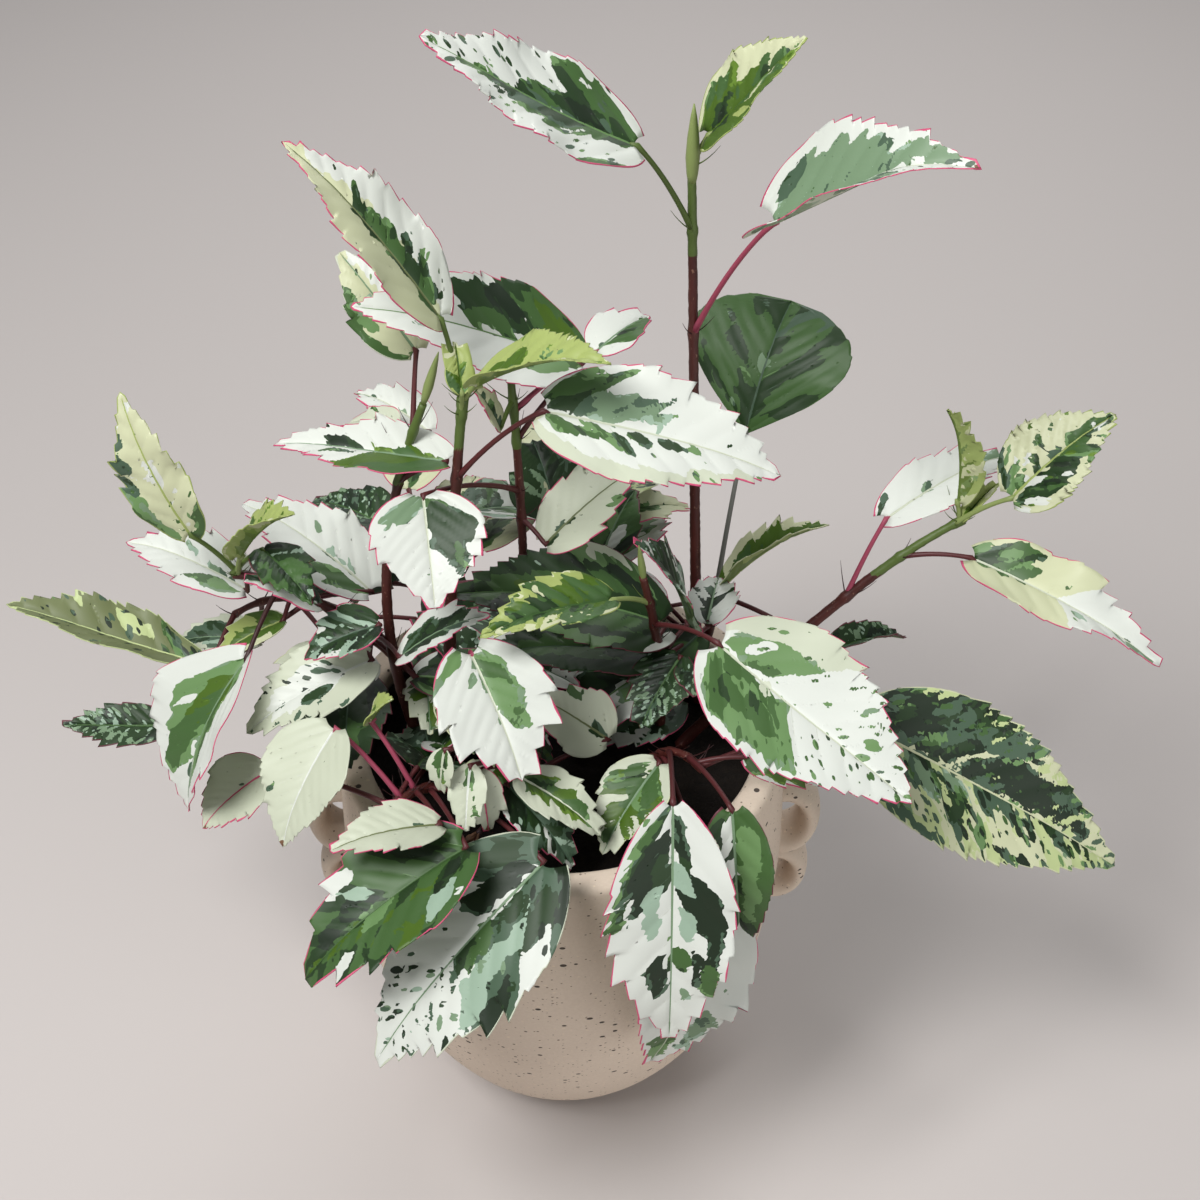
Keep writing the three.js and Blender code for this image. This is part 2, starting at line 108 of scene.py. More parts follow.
class Finish:
    """A material with its shader, and the steps that make the patterns on it."""

    def __init__(self, name, **inputs):
        self.material = bpy.data.materials.new(name)
        self.material.use_nodes = True
        self.tree = self.material.node_tree
        self.shader = self.tree.nodes["Principled BSDF"]
        for socket, value in inputs.items():
            self.feed(self.shader.inputs[socket.replace("_", " ")], value)

    def feed(self, socket, value):
        if isinstance(value, Amount):
            self.tree.links.new(value.socket, socket)
        elif socket.type == "RGBA":
            socket.default_value = (*value, 1)
        else:
            socket.default_value = value

    def node(self, kind, settings=None, inputs=None, output=0):
        made = self.tree.nodes.new("ShaderNode" + kind)
        for key, value in (settings or {}).items():
            setattr(made, key, value)
        for key, value in (inputs or {}).items():
            self.feed(made.inputs[key], value)
        return Amount(self, made.outputs[output])

    def place(self, scale=(1, 1, 1)):
        """The point on the piece, stretched by scale."""
        where = self.node("TexCoord", output="Object")
        return self.node("VectorMath", {"operation": "MULTIPLY"}, {0: where, 1: scale})

    def noise(self, scale, detail=3, stretch=(1, 1, 1)):
        inputs = {"Vector": self.place(stretch), "Scale": scale, "Detail": detail}
        return self.node("TexNoise", None, inputs)

    def blend(self, share, one, other):
        return self.node("Mix", {"data_type": "RGBA"}, {0: share, 6: one, 7: other}, 2)

    def bump(self, height, strength, distance):
        inputs = {"Height": height, "Strength": strength, "Distance": distance}
        self.feed(self.shader.inputs["Normal"], self.node("Bump", None, inputs))


class Amount:
    """A number or colour that a material works out at each point."""

    def __init__(self, finish, socket):
        self.finish = finish
        self.socket = socket

    def maths(self, operation, one, other=0.0, clamp=False):
        settings = {"operation": operation, "use_clamp": clamp}
        return self.finish.node("Math", settings, {0: one, 1: other})

    def __add__(self, other):
        return self.maths("ADD", self, other)

    __radd__ = __add__

    def __sub__(self, other):
        return self.maths("SUBTRACT", self, other)

    def __rsub__(self, other):
        return self.maths("SUBTRACT", other, self)

    def __mul__(self, other):
        return self.maths("MULTIPLY", self, other)

    __rmul__ = __mul__

    def clipped(self):
        return self.maths("ADD", self, 0.0, clamp=True)


def colour(red, green, blue):
    """A colour given as it shows on a screen, from 0 to 255, as the light it reflects."""
    shares = [c / 255 for c in (red, green, blue)]
    return tuple(c / 12.92 if c < 0.04045 else ((c + 0.055) / 1.055) ** 2.4 for c in shares)


def bowl_radius(height, belly):
    """Radius of the bowl's outside, or with a smaller belly of its inside, at a height."""
    down = (BELLY_HEIGHT - min(height, BELLY_HEIGHT)) / BOWL_DEPTH
    return belly * math.sqrt(1 - down * down)


def wall(belly, top, start, end, steps):
    """Radius and height down or up the wall, from one height to another."""
    profile = []
    for i in range(steps + 1):
        height = start + (end - start) * i / steps
        above = max(0, height - BELLY_HEIGHT) / (POT_HEIGHT - BELLY_HEIGHT)
        profile.append((bowl_radius(height, belly) + (top - belly) * above, height))
    return profile


def corner(radius, height, start):
    """A quarter circle of LIP round a corner's centre, from an angle in degrees, turning inwards."""
    turns = [math.radians(start + 90 * i / LIP_STEPS) for i in range(1, LIP_STEPS)]
    return [(radius + LIP * math.cos(a), height + LIP * math.sin(a)) for a in turns]


def turned(name, profile, sides):
    """A closed body turned about the upright axis: a disc, pulled up ring by ring through the profile."""
    radius, height = profile[0]
    bpy.ops.object.select_all(action="DESELECT")
    bpy.ops.mesh.primitive_circle_add(
        vertices=sides, radius=radius * MM, location=(0, 0, height * MM), fill_type="NGON"
    )
    body = bpy.context.object
    body.name = name
    bpy.ops.object.transform_apply(location=True)
    bpy.ops.object.mode_set(mode="EDIT")
    bpy.ops.mesh.select_mode(type="EDGE")
    bpy.ops.mesh.select_all(action="DESELECT")
    bpy.ops.mesh.select_non_manifold()
    for new_radius, new_height in profile[1:]:
        ratio = new_radius / radius
        bpy.ops.mesh.extrude_edges_move(
            TRANSFORM_OT_translate={"value": (0, 0, (new_height - height) * MM)}
        )
        bpy.ops.transform.resize(value=(ratio, ratio, 1), center_override=(0, 0, 0))
        radius, height = new_radius, new_height
    bpy.ops.mesh.edge_face_add()
    bpy.ops.mesh.select_all(action="SELECT")
    bpy.ops.mesh.normals_make_consistent(inside=False)
    bpy.ops.object.mode_set(mode="OBJECT")
    bpy.ops.object.shade_smooth_by_angle(angle=math.radians(POT_CREASE))
    return body


pot_profile = [
    (bowl_radius(0, POT_RADIUS) - LIP, 0),
    *wall(POT_RADIUS, RIM_RADIUS, LIP / 2, POT_HEIGHT - LIP, OUTSIDE_STEPS),
    *corner(RIM_RADIUS - LIP, POT_HEIGHT - LIP, 0),
    (RIM_RADIUS - LIP, POT_HEIGHT),
    (RIM_RADIUS - WALL + LIP, POT_HEIGHT),
    *corner(RIM_RADIUS - WALL + LIP, POT_HEIGHT - LIP, 90),
    *wall(POT_RADIUS - WALL, RIM_RADIUS - WALL, POT_HEIGHT - LIP, POT_FLOOR, INSIDE_STEPS),
]
pot = turned("pot_body", pot_profile, POT_SIDES)


# Inside this radius and between these heights the clay is painted near black, as painted shade for the shadow
# on the pot's inside wall above the soil. In metres.
PAINTED_SHADE_RADIUS = 0.0785
PAINTED_SHADE_FROM = 0.12
PAINTED_SHADE_TOP = 0.171
PAINTED_SHADE_WAVE = 0.006
PAINTED_SHADE_EDGES = (900, 400)  # how sharply the painted shade ends, inwards and upwards
FLECK_EDGE = 12


def speckled_stoneware():
    """Sandy beige clay, cloudy and pitted, with dark specks and small pale flecks, and painted shade
    darkening the wall inside.
    """
    finish = Finish("speckled_stoneware", Roughness=0.8, Specular_IOR_Level=0.3)
    clouds = finish.noise(14, 4)
    grain = finish.noise(900, 2)
    clay = finish.blend(clouds, colour(206, 190, 174), colour(224, 208, 190))
    clay = finish.blend(grain * 0.35, clay, colour(178, 156, 136))

    def flecks(scale, stretch, size, share):
        """1 in the flecks: the middles of some of the cells of an even scatter."""
        inputs = {"Vector": finish.place(stretch), "Scale": scale}
        near = finish.node("TexVoronoi", None, inputs)
        cell = finish.node("TexVoronoi", None, inputs, "Color")
        red = finish.node("SeparateColor", None, {0: cell})
        chosen = finish.node("Math", {"operation": "LESS_THAN"}, {0: red, 1: share})
        inside = (red * (size / share) - near) * FLECK_EDGE * (1 / size)
        return inside.clipped() * chosen

    pale = flecks(330, (1, 1, 2.4), 0.28, 0.35)
    fine = flecks(560, (1, 1, 1.6), 0.3, 0.42)
    dark = flecks(210, (1, 1, 1.7), 0.3, 0.3)
    clay = finish.blend(pale * 0.7, clay, colour(226, 208, 184))
    clay = finish.blend(fine * 0.75, clay, colour(94, 72, 58))
    clay = finish.blend(dark * 0.92, clay, colour(46, 38, 34))
    out = finish.node("VectorMath", {"operation": "LENGTH"}, {0: finish.place((1, 1, 0))}, "Value")
    height = finish.node("SeparateXYZ", None, {0: finish.place()}, "Z")
    inward, upward = PAINTED_SHADE_EDGES
    # Painted shade: inside the wall and below a wavy line under the rim, the clay is darkened to near black
    # for the shadow there.
    inside = ((PAINTED_SHADE_RADIUS - out) * inward).clipped() * ((height - PAINTED_SHADE_FROM) * upward).clipped()
    painted_shade = inside * ((PAINTED_SHADE_TOP - height + clouds * PAINTED_SHADE_WAVE) * upward).clipped()
    clay = finish.blend(painted_shade * 0.95, clay, colour(30, 22, 17))
    finish.feed(finish.shader.inputs["Base Color"], clay)
    finish.bump(grain * 0.4 - dark - fine * 0.6 + clouds, 0.35, 0.0006)
    return finish.material


stoneware = speckled_stoneware()
pot.data.materials.append(stoneware)
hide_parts("pot")
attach(pot, "root")

# ---------------------------------------------------------------- handles
# On each side two loops of rolled clay strap, one above the other, luted to the wall with their ends in it
# and their edges rounded with a wet finger.
STRAP = 8.4
STRAP_WIDTH = 21
STRAP_SIDES = 24
# Each loop's centre from the pot's axis, its height, and half its width and height.
HANDLE_LOOPS = ((88, 134, 15, 19), (86, 104, 14, 16))
HANDLE_SIDES = {"right_handle": 1, "left_handle": -1}
LOOP_STEPS = 20
LOOP_TURN = 105  # degrees to each side of straight out, so that the ends are in the wall
LOOP_CREASE = 50
WELD = 1e-6  # in metres


def handle_loop(out, up, wide, high, side):
    """One loop: an oval slice of strap, spun about the loop's centre and then drawn to the loop's oval."""
    bpy.ops.object.select_all(action="DESELECT")
    middle = wide - STRAP / 2
    start = math.radians(LOOP_TURN)
    bpy.ops.mesh.primitive_circle_add(
        vertices=STRAP_SIDES,
        radius=0.5 * MM,
        fill_type="NGON",
        location=(middle * math.cos(start) * MM, 0, -middle * math.sin(start) * MM),
        rotation=(0, start, 0),
    )
    loop = bpy.context.object
    loop.scale = (STRAP, STRAP_WIDTH, 1)
    bpy.ops.object.transform_apply(location=True, rotation=True, scale=True)
    bpy.ops.object.mode_set(mode="EDIT")
    bpy.ops.mesh.select_all(action="SELECT")
    bpy.ops.mesh.spin(steps=LOOP_STEPS, angle=2 * start, center=(0, 0, 0), axis=(0, 1, 0))
    bpy.ops.mesh.select_all(action="SELECT")
    bpy.ops.mesh.remove_doubles(threshold=WELD)
    bpy.ops.transform.resize(value=(1, 1, (high - STRAP / 2) / middle), center_override=(0, 0, 0))
    bpy.ops.transform.translate(value=(out * MM, 0, up * MM))
    if side < 0:
        bpy.ops.transform.resize(value=(-1, 1, 1), center_override=(0, 0, 0))
    bpy.ops.mesh.normals_make_consistent(inside=False)
    bpy.ops.object.mode_set(mode="OBJECT")
    bpy.ops.object.shade_smooth_by_angle(angle=math.radians(LOOP_CREASE))
    return loop


for name, side in HANDLE_SIDES.items():
    loops = [handle_loop(*sizes, side) for sizes in HANDLE_LOOPS]
    bpy.ops.object.select_all(action="DESELECT")
    for loop in loops:
        loop.select_set(True)
    bpy.context.view_layer.objects.active = loops[0]
    bpy.ops.object.join()
    handle = bpy.context.object
    handle.name = name + "_loops"
    handle.data.materials.append(stoneware)
    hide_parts(name)
    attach(handle, "root")

# ---------------------------------------------------------------- soil
# Dark moist potting mix of peat and bark, filled to 2 cm under the rim and left lumpy on top. It is turned
# like the pot, and its top is then pushed down by two layers of noise.
SOIL_LINE = 160
SOIL_RADIUS = 74
SOIL_RINGS = 26
SOIL_SIDES = 90
SOIL_LUMPS = 2.4
SOIL_SETTLED = 0.3  # the lumps' tops below the line
SOIL_GAP = 0.5  # to the pot's wall, and 1 to its floor
SOIL_WALL_STEPS = 8
# Each layer of lumps: their size, their share of the height, and their place and seed in the noise.
LUMP_LAYERS = ((6, 1, 40, 3), (2.3, 0.5, 90, 4))


def lattice_noise(x, y, seed, size=64):
    """Smooth noise from -1 to 1, over a square lattice with one random number at each whole place."""
    table = np.random.default_rng(seed).random((size, size)) * 2 - 1
    left, low = np.floor(x).astype(int), np.floor(y).astype(int)
    right_share, high_share = x - left, y - low
    right_share = right_share * right_share * (3 - 2 * right_share)
    high_share = high_share * high_share * (3 - 2 * high_share)

    def at(i, j):
        return table[(left + i) % size, (low + j) % size]

    lower = at(0, 0) + (at(1, 0) - at(0, 0)) * right_share
    upper = at(0, 1) + (at(1, 1) - at(0, 1)) * right_share
    return lower + (upper - lower) * high_share


soil_radii = [max(1, SOIL_RADIUS * i / SOIL_RINGS) for i in range(SOIL_RINGS, 0, -1)]
soil_top = [(radius, SOIL_LINE - SOIL_SETTLED) for radius in soil_radii]
soil_wall = wall(POT_RADIUS - WALL - SOIL_GAP, SOIL_RADIUS, POT_FLOOR + 1, SOIL_LINE - 1, SOIL_WALL_STEPS)
soil = turned("potting_mix", [*soil_wall, *soil_top], SOIL_SIDES)
corners = np.empty(len(soil.data.vertices) * 3)
soil.data.vertices.foreach_get("co", corners)
corners = corners.reshape(-1, 3) / MM
top = corners[:, 2] > SOIL_LINE - 0.5
lumps = sum(
    share * lattice_noise(corners[:, 0] / size + place, corners[:, 1] / size + place, seed)
    for size, share, place, seed in LUMP_LAYERS
)
corners[top, 2] += SOIL_LUMPS * (lumps[top] - 1) / 2
soil.data.vertices.foreach_set("co", (corners * MM).ravel())
soil.data.update()


def potting_mix():
    """Near-black crumbs of peat, moist, with browner patches."""
    finish = Finish("potting_mix", Roughness=0.9, Specular_IOR_Level=0.2)
    crumbs = finish.noise(420, 5)
    patches = finish.noise(70, 3)
    earth = finish.blend(crumbs, colour(5, 4, 3), colour(34, 26, 20))
    earth = finish.blend(patches * 0.5, earth, colour(12, 9, 7))
    finish.feed(finish.shader.inputs["Base Color"], earth)
    finish.bump(crumbs, 0.9, 0.0015)
    return finish.material


soil.data.materials.append(potting_mix())
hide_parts("soil")
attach(soil, "root")

# ---------------------------------------------------------------- the plan of the shoots
# Young shoots rise from one root. Each bears toothed leaves on long stalks, and no two leaves have the same
# white, cream and green patches. The sizes are in millimetres and the angles in degrees.
LEAF_WIDTH = 0.6  # of its length
LEAF_FOLD = 12
LEAF_ARCH = 0.06


def leaf(at, stalk, blade, look, seed, roll=0, width=LEAF_WIDTH, fold=LEAF_FOLD, arch=LEAF_ARCH, **own):
    """A leaf at a place along its shoot. stalk and blade are each a heading, a rise and a length.

    What sets one leaf apart may follow: its stem's tint, cell of its net, tooth and how toothed it is, lobe,
    fullness and sharpness of its outline, ripple, twist and curl.
    """
    shape = dict(at=at, stalk=stalk, blade=blade, roll=roll, width=width, fold=fold, arch=arch)
    return dict(shape, look=look, seed=seed, **own)


SHOOTS = {
    "leader": dict(
        root=(54, 34), tip=(45, 44, 392), bow=(0, 0, 0), radius=(2.3, 1.5), bough=0.69,
        leaves=[
            leaf(0.73, (-53, 58, 69), (-34, 38, 74), "sage_heart", 1, 18, 0.64, 30, 0, stem="pink",
                 curl=0.42, lobe=0.1, fullness=0.42, cell=1),
            leaf(0.9, (-146, 58, 44), (-169, 34, 79), "green_band", 2, -18, 0.56, 10, -0.04, stem="green",
                 cell=0.95),
            leaf(1, (0, 65, 12), (-28, 53, 50), "young_wide", 3, 36, 0.62, 20, 0, stem="lime", lobe=0.1,
                 tooth=3.5),
        ],
        buds=[(0.97, -99, 86, 30)],
    ),
    "right_arm": dict(
        root=(46, 8), tip=(148, 22, 262), bow=(8, 2, 16), radius=(2.4, 1.4), bough=0.48,
        leaves=[
            leaf(0.52, (34, 62, 34), (28, 13, 56), "white", 4, 5, 0.46, stem="pink", lobe=0.08),
            leaf(0.72, (-13, 9, 26), (-35, -9, 77), "green_foot", 5, 10, 0.4, 20, 0.04, stem="red",
                 ripple=2.2, tooth=8, twist=-25),
            leaf(0.95, (-24, 43, 26), (11, 45, 46), "young_cream", 6, 20, 0.74, 14, stem="lime", tooth=3.2,
                 toothed=1.6),
            leaf(0.98, (176, 77, 8), (180, 80, 43), "young", 7, 30, 0.4, 40, stem="lime"),
            leaf(1, (-120, 8, 2), (43, 21, 22), "young", 8, 0, 0.4, 40, stem="lime"),
        ],
    ),
    "leader_foot": dict(
        root=(50, 40), tip=(60, 40, 214), bow=(2, 0, 0), radius=(1.9, 1.4), bough=0.55,
        leaves=[
            leaf(0.9, (70, 61, 67), (60, 51, 53), "dull", 9, 6, 1.2, 6, 0.1, stem="grey", toothed=0.3,
                 lobe=0.02, fullness=1, sharpness=0.55),
            leaf(0.85, (-61, 67, 14), (-9, 45, 52), "olive", 10, 0, 0.36, 40, stem="green"),
            leaf(0.8, (-98, 32, 37), (79, -2, 31), "mosaic", 11, stem="red"),
            leaf(0.95, (-25, -15, 49), (31, -12, 40), "dusty", 12, 0, 0.4, 40, stem="red"),
        ],
        more=dict(count=24, towards=50, spread=150),
    ),
    "centre": dict(
        root=(38, 14), tip=(30, -4, 256), bow=(3, 0, 0), radius=(2.4, 1.4), bough=0.38,
        leaves=[
            leaf(0.45, (-38, 50, 15), (-128, -35, 31), "dusty", 13, 0, 0.8, stem="red", cell=0.8),
            leaf(0.5, (-24, 16, 13), (-62, 1, 34), "dusty", 14, 0, 0.7, stem="red", cell=0.8),
            leaf(0.5, (40, 35, 18), (-149, 65, 54), "mosaic_dark", 15, -20, stem="red"),
            leaf(0.62, (71, -12, 14), (-173, 18, 84), "banded", 16, -10, stem="red"),
            leaf(0.5, (101, -30, 8), (-171, 10, 66), "dark", 17, stem="red"),
            leaf(0.72, (-54, 25, 40), (-40, -15, 87), "speckled", 18, 12, 0.66, 10, -0.03, stem="red",
                 cell=1.1),
            leaf(0.85, (-137, 33, 22), (-154, 4, 51), "crinkled", 19, -10, 0.5, 25, stem="lime"),
        ],
        buds=[(0.98, -137, 81, 18)],
    ),
    "front_right": dict(
        root=(26, -14), tip=(52, -42, 196), bow=(0, 0, 14), radius=(2, 1.2), bough=0.22,
        leaves=[
            leaf(0.3, (-82, 42, 24), (-129, -30, 39), "moss_wide", 20, 0, 0.7, stem="red"),
            leaf(0.55, (-91, 27, 57), (-90, -70, 95), "banded_white", 21, 0, 0.46, stem="red", tooth=10,
                 fullness=0.7, lobe=0.03),
            leaf(0.45, (-74, -15, 62), (-145, -73, 82), "pale_mosaic", 22, -72, 0.54, stem="red", tooth=9),
            leaf(0.8, (-70, 16, 41), (-70, -76, 63), "white_strip", 23, 20, 0.42, stem="red", toothed=0.4),
            leaf(0.9, (-3, 13, 18), (-13, -10, 30), "green_strip", 24, 15, stem="red"),
            leaf(0.95, (18, 2, 64), (-15, -25, 113), "mottled", 25, 32, 0.5, 8, 0.03, stem="red"),
        ],
    ),
    "front_low": dict(
        root=(-10, -22), tip=(-8, -44, 206), bow=(0, 0, 6), radius=(2, 1.2), bough=0.14,
        leaves=[
            leaf(0.2, (-112, 44, 35), (-39, -34, 38), "mosaic_dark", 26, stem="red"),
            leaf(0.3, (-101, 46, 35), (-31, -17, 36), "moss_heart", 27, stem="red"),
            leaf(0.4, (22, 12, 30), (159, 25, 30), "cream", 28, -30, 0.9, stem="red"),
            leaf(0.5, (-129, 39, 44), (-96, -48, 23), "two_blots", 29, stem="red"),
            leaf(0.45, (-129, 38, 38), (-73, -60, 23), "pink_pale", 30, stem="red"),
            leaf(0.6, (178, 42, 45), (-27, -31, 42), "mottled", 31, stem="red"),
            leaf(0.8, (157, 60, 49), (-62, -33, 49), "green_side", 32, 0, 0.84, 8, stem="pink", tooth=9.5,
                 toothed=1.3, lobe=0.1),
            leaf(0.9, (-147, 32, 43), (-117, -75, 17), "moss_heart", 33, stem="red"),
        ],
    ),
    "front_left": dict(
        root=(-32, -26), tip=(-60, -62, 196), bow=(0, 0, 12), radius=(2, 1.2), bough=0.22,
        leaves=[
            leaf(0.3, (-53, 13, 61), (-148, -40, 94), "sage_foot", 34, -10, 0.62, 2, 0.04, stem="red",
                 tooth=9, lobe=0.08),
            leaf(0.55, (-66, 11, 40), (-152, -27, 72), "leafy", 35, -5, 0.64, stem="red", tooth=12,
                 toothed=1.2, lobe=0.06),
            leaf(0.7, (-66, 19, 29), (-159, 5, 39), "cream", 36, stem="red"),
            leaf(0.85, (151, 41, 35), (-125, -42, 46), "greyish", 37, 10, 0.86, stem="pink", tooth=4),
            leaf(0.95, (152, -8, 56), (-149, -27, 32), "pink_pale", 38, 0, 1, stem="red", tooth=4),
        ],
    ),
    "left_arm": dict(
        root=(-40, 26), tip=(-120, 10, 246), bow=(-6, 0, 18), radius=(2.4, 1.4), bough=0.3,
        leaves=[
            leaf(0.35, (-67, 29, 46), (-3, 35, 40), "dark_heart", 39, stem="red"),
            leaf(0.4, (-67, 40, 44), (-164, -17, 30), "mosaic_dark", 40, 0, 0.9, stem="red"),
            leaf(0.5, (-57, -2, 31), (-155, -17, 53), "sprinkled", 41, -10, stem="red"),
            leaf(0.6, (29, -15, 25), (151, 22, 62), "white_foot", 42, stem="red"),
            leaf(0.72, (-52, 16, 27), (-175, 32, 29), "dark_side", 43, stem="red"),
            leaf(0.74, (-110, -22, 32), (-136, -55, 64), "green_heart", 44, 18, 1, 18, 0.08, stem="dark",
                 fullness=0.8, lobe=0.1),
            leaf(0.92, (107, -61, 15), (161, 14, 51), "white_foot", 45, stem="red"),
            leaf(0.96, (-156, 57, 27), (162, 71, 59), "cream_side", 46, -80, 0.42, 8, 0.06, stem="green",
                 ripple=2),
            leaf(0.97, (-64, 58, 17), (-24, 49, 38), "young", 47, 0, 0.6, 30, stem="lime"),
            leaf(1, (-17, 47, 20), (-51, -6, 33), "crinkled_dark", 48, stem="green"),
        ],
    ),
    "left_low": dict(
        root=(-52, 36), tip=(-128, 34, 206), bow=(0, 0, 26), radius=(2, 1.2), bough=0.52,
        leaves=[
            leaf(0.6, (-156, -35, 75), (-174, 7, 42), "dusty", 49, -25, 0.42, 12, -0.03, stem="red",
                 cell=0.8),
            leaf(0.7, (-99, -12, 11), (-160, -22, 31), "olive", 50, stem="red"),
            leaf(0.85, (124, -75, 26), (173, -6, 38), "slate_white", 51, 0, 0.6, stem="red"),
            leaf(1, (-109, -23, 23), (175, 21, 80), "dim_mottled", 52, 0, 0.34, 28, -0.02, stem="red",
                 fullness=0.9),
        ],
    ),
    "left_upright": dict(
        root=(-54, 4), tip=(-46, 14, 318), bow=(-14, 0, 0), radius=(2.4, 1.4), bough=0.75,
        leaves=[
            leaf(0.8, (-25, 36, 26), (164, -2, 65), "shaded_half", 53, -2, 0.44, 12, 0, stem="red"),
            leaf(0.86, (77, -15, 29), (144, 8, 35), "white", 54, stem="red"),
            leaf(0.84, (101, 18, 18), (152, -13, 22), "cream", 55, 0, 0.8, stem="red"),
            leaf(0.93, (91, 20, 35), (146, 43, 44), "dark_edge", 56, -35, 0.6, stem="red"),
        ],
        buds=[(1, 0, 73, 22)],
    ),
    "upper_left": dict(
        root=(-44, 4), tip=(-31, 0, 330), bow=(-2, 0, 0), radius=(2.8, 1.6), bough=0.76,
        leaves=[
            leaf(0.8, (-28, 48, 53), (-10, -10, 80), "sage_strip", 57, 20, 0.56, 10, 0.03, stem="red",
                 cell=1.1),
            leaf(1, (136, 72, 28), (167, 52, 75), "cream_white", 58, -10, 0.46, 14, 0.03, stem="green"),
            leaf(0.99, (-49, 52, 13), (-29, 28, 56), "young", 59, 0, 0.5, 25, stem="lime", tooth=3),
            leaf(0.96, (-78, 69, 12), (102, 53, 17), "young", 60, stem="lime"),
        ],
    ),
    "upper_back": dict(
        root=(-16, 30), tip=(-17, 36, 316), bow=(2, 0, 0), radius=(2, 1.4), bough=0.54,
        leaves=[
            leaf(0.6, (-46, -21, 14), (25, 33, 46), "cream", 61, 15, stem="red"),
            leaf(0.68, (-127, 29, 59), (-81, -35, 40), "arc", 62, 0, 0.98, 12, stem="red"),
            leaf(0.82, (25, 44, 37), (-167, 25, 87), "half_green", 63, -20, 0.54, 12, 0.03, stem="red"),
            leaf(0.9, (26, 26, 36), (38, 15, 26), "green_end", 64, 0, 0.9, stem="pink"),
            leaf(0.93, (-110, -21, 13), (169, 61, 21), "cream_green", 65, stem="green"),
        ],
        buds=[(1, 180, 84, 11)],
    ),
    "back_left": dict(
        root=(-36, 44), tip=(-62, 84, 220), bow=(0, 0, 4), radius=(2, 1.4), bough=0.3,
        leaves=[],
        more=dict(count=40, towards=120, spread=300),
    ),
    "back_mid": dict(
        root=(0, 46), tip=(4, 76, 224), bow=(0, 0, 4), radius=(2, 1.4), bough=0.3,
        leaves=[
            leaf(0.95, (-102, 40, 38), (115, 48, 30), "marbled", 66, 0, 1.1, 8, stem="red"),
            leaf(0.9, (-60, 5, 24), (59, 34, 30), "white_strip", 67, 0, 0.8, stem="red"),
        ],
        more=dict(count=40, towards=85, spread=300),
    ),
}

# The rule's further leaves, from shortest or lowest to longest or highest.
MORE_SEED = 7
MORE_STALK_RISE = (0, 40)
MORE_STALK_LENGTH = (12, 30)
MORE_BLADE_RISE = (-45, 5)
MORE_BLADE_LENGTH = (40, 60)
MORE_TURN = 30
MORE_SEEDS = 100
GOLDEN_ANGLE = 137.5
MORE_LOOKS = ("mosaic", "green_heart", "dark_heart", "mottled", "dusty", "sage_heart", "cream_green", "dark")
LEAF_THICKNESS = 1.1  # in the solids
TIP_MATCH = 0.6


def mix(a, b, t):
    """From a to b as t goes from 0 to 1."""
    return a + (b - a) * t


def random(seed):
    """Repeatable numbers from 0 to 1, the same as the solids' own."""
    state = seed
    whole = 0xFFFFFFFF

    def draw():
        nonlocal state
        state = (state + 0x6D2B79F5) & whole
        t = ((state ^ (state >> 15)) * (1 | state)) & whole
        t = ((t + (((t ^ (t >> 7)) * (61 | t)) & whole)) & whole) ^ t
        return (t ^ (t >> 14)) / 4294967296

    return draw


def direction(heading, rise):
    """The unit vector with a heading, turned from +X towards +Y, and a rise above level."""
    h, r = math.radians(heading), math.radians(rise)
    return np.array([math.cos(r) * math.cos(h), math.cos(r) * math.sin(h), math.sin(r)])


def shoot_point(shoot, t):
    """The point at a share of the way from the root to the tip, along the shoot's bow."""
    foot, tip, bow = (*shoot["root"], SOIL_LINE), shoot["tip"], shoot["bow"]
    return mix(np.array(foot, float), np.array(tip, float), t) + np.array(bow) * 4 * t * (1 - t)


def leaf_axes(along, roll):
    """The blade's own axes: to its right, and up from its face."""
    up = np.array([0, 0, 1]) - along * along[2]
    up /= np.linalg.norm(up)
    turn = math.radians(roll)
    up = up * math.cos(turn) + np.cross(along, up) * math.sin(turn)
    return np.cross(along, up), up


def further_leaves(name, shoot, dice):
    """The leaves that the rule proposes, less those that the solids had no room for."""
    more = shoot.get("more")
    if not more:
        return []
    solid = np.array([v.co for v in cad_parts[name + "_foliage"].data.vertices]) / MM
    kept = []
    for k in range(more["count"]):
        at = mix(shoot["bough"], 1, (k + 1) / more["count"])
        turn = ((k * GOLDEN_ANGLE) % 360) / 360 - 0.5
        heading = more["towards"] + turn * more["spread"]
        stalk = (heading, mix(*MORE_STALK_RISE, dice()), mix(*MORE_STALK_LENGTH, dice()))
        swing = heading + mix(-MORE_TURN, MORE_TURN, dice())
        blade = (swing, mix(*MORE_BLADE_RISE, dice()), mix(*MORE_BLADE_LENGTH, dice()))
        along = direction(*blade[:2])
        _, up = leaf_axes(along, 0)
        tip = shoot_point(shoot, at) + direction(*stalk[:2]) * stalk[2] + along * blade[2]
        tip = tip + up * LEAF_THICKNESS / 2
        if np.linalg.norm(solid - tip, axis=1).min() < TIP_MATCH:
            look = MORE_LOOKS[k % len(MORE_LOOKS)]
            kept.append(leaf(at, stalk, blade, look, MORE_SEEDS + len(kept) + k, stem="red"))
    return kept


BASE_ROUNDNESS = 0.52
TIP_SHARPNESS = 1.05
NARROWEST = 0.03


def outline(s, row):
    """Half width of a blade, of its widest, along its length."""
    fullness, sharpness = row.get("fullness", BASE_ROUNDNESS), row.get("sharpness", TIP_SHARPNESS)
    peak = fullness / (fullness + sharpness)

    def shape(t):
        return np.power(t, fullness) * np.power(1 - t, sharpness)

    return np.maximum(NARROWEST * (1 - s), shape(s) / shape(peak))


def leaf_base(shoot, row):
    """Where a leaf's stalk ends and its blade begins."""
    return shoot_point(shoot, row["at"]) + direction(*row["stalk"][:2]) * row["stalk"][2]


# Test points over a blade: from, to and how many, along it and across it.
TESTED_ALONG = (0.04, 1, 11)
TESTED_ACROSS = (-0.9, 0.9, 7)


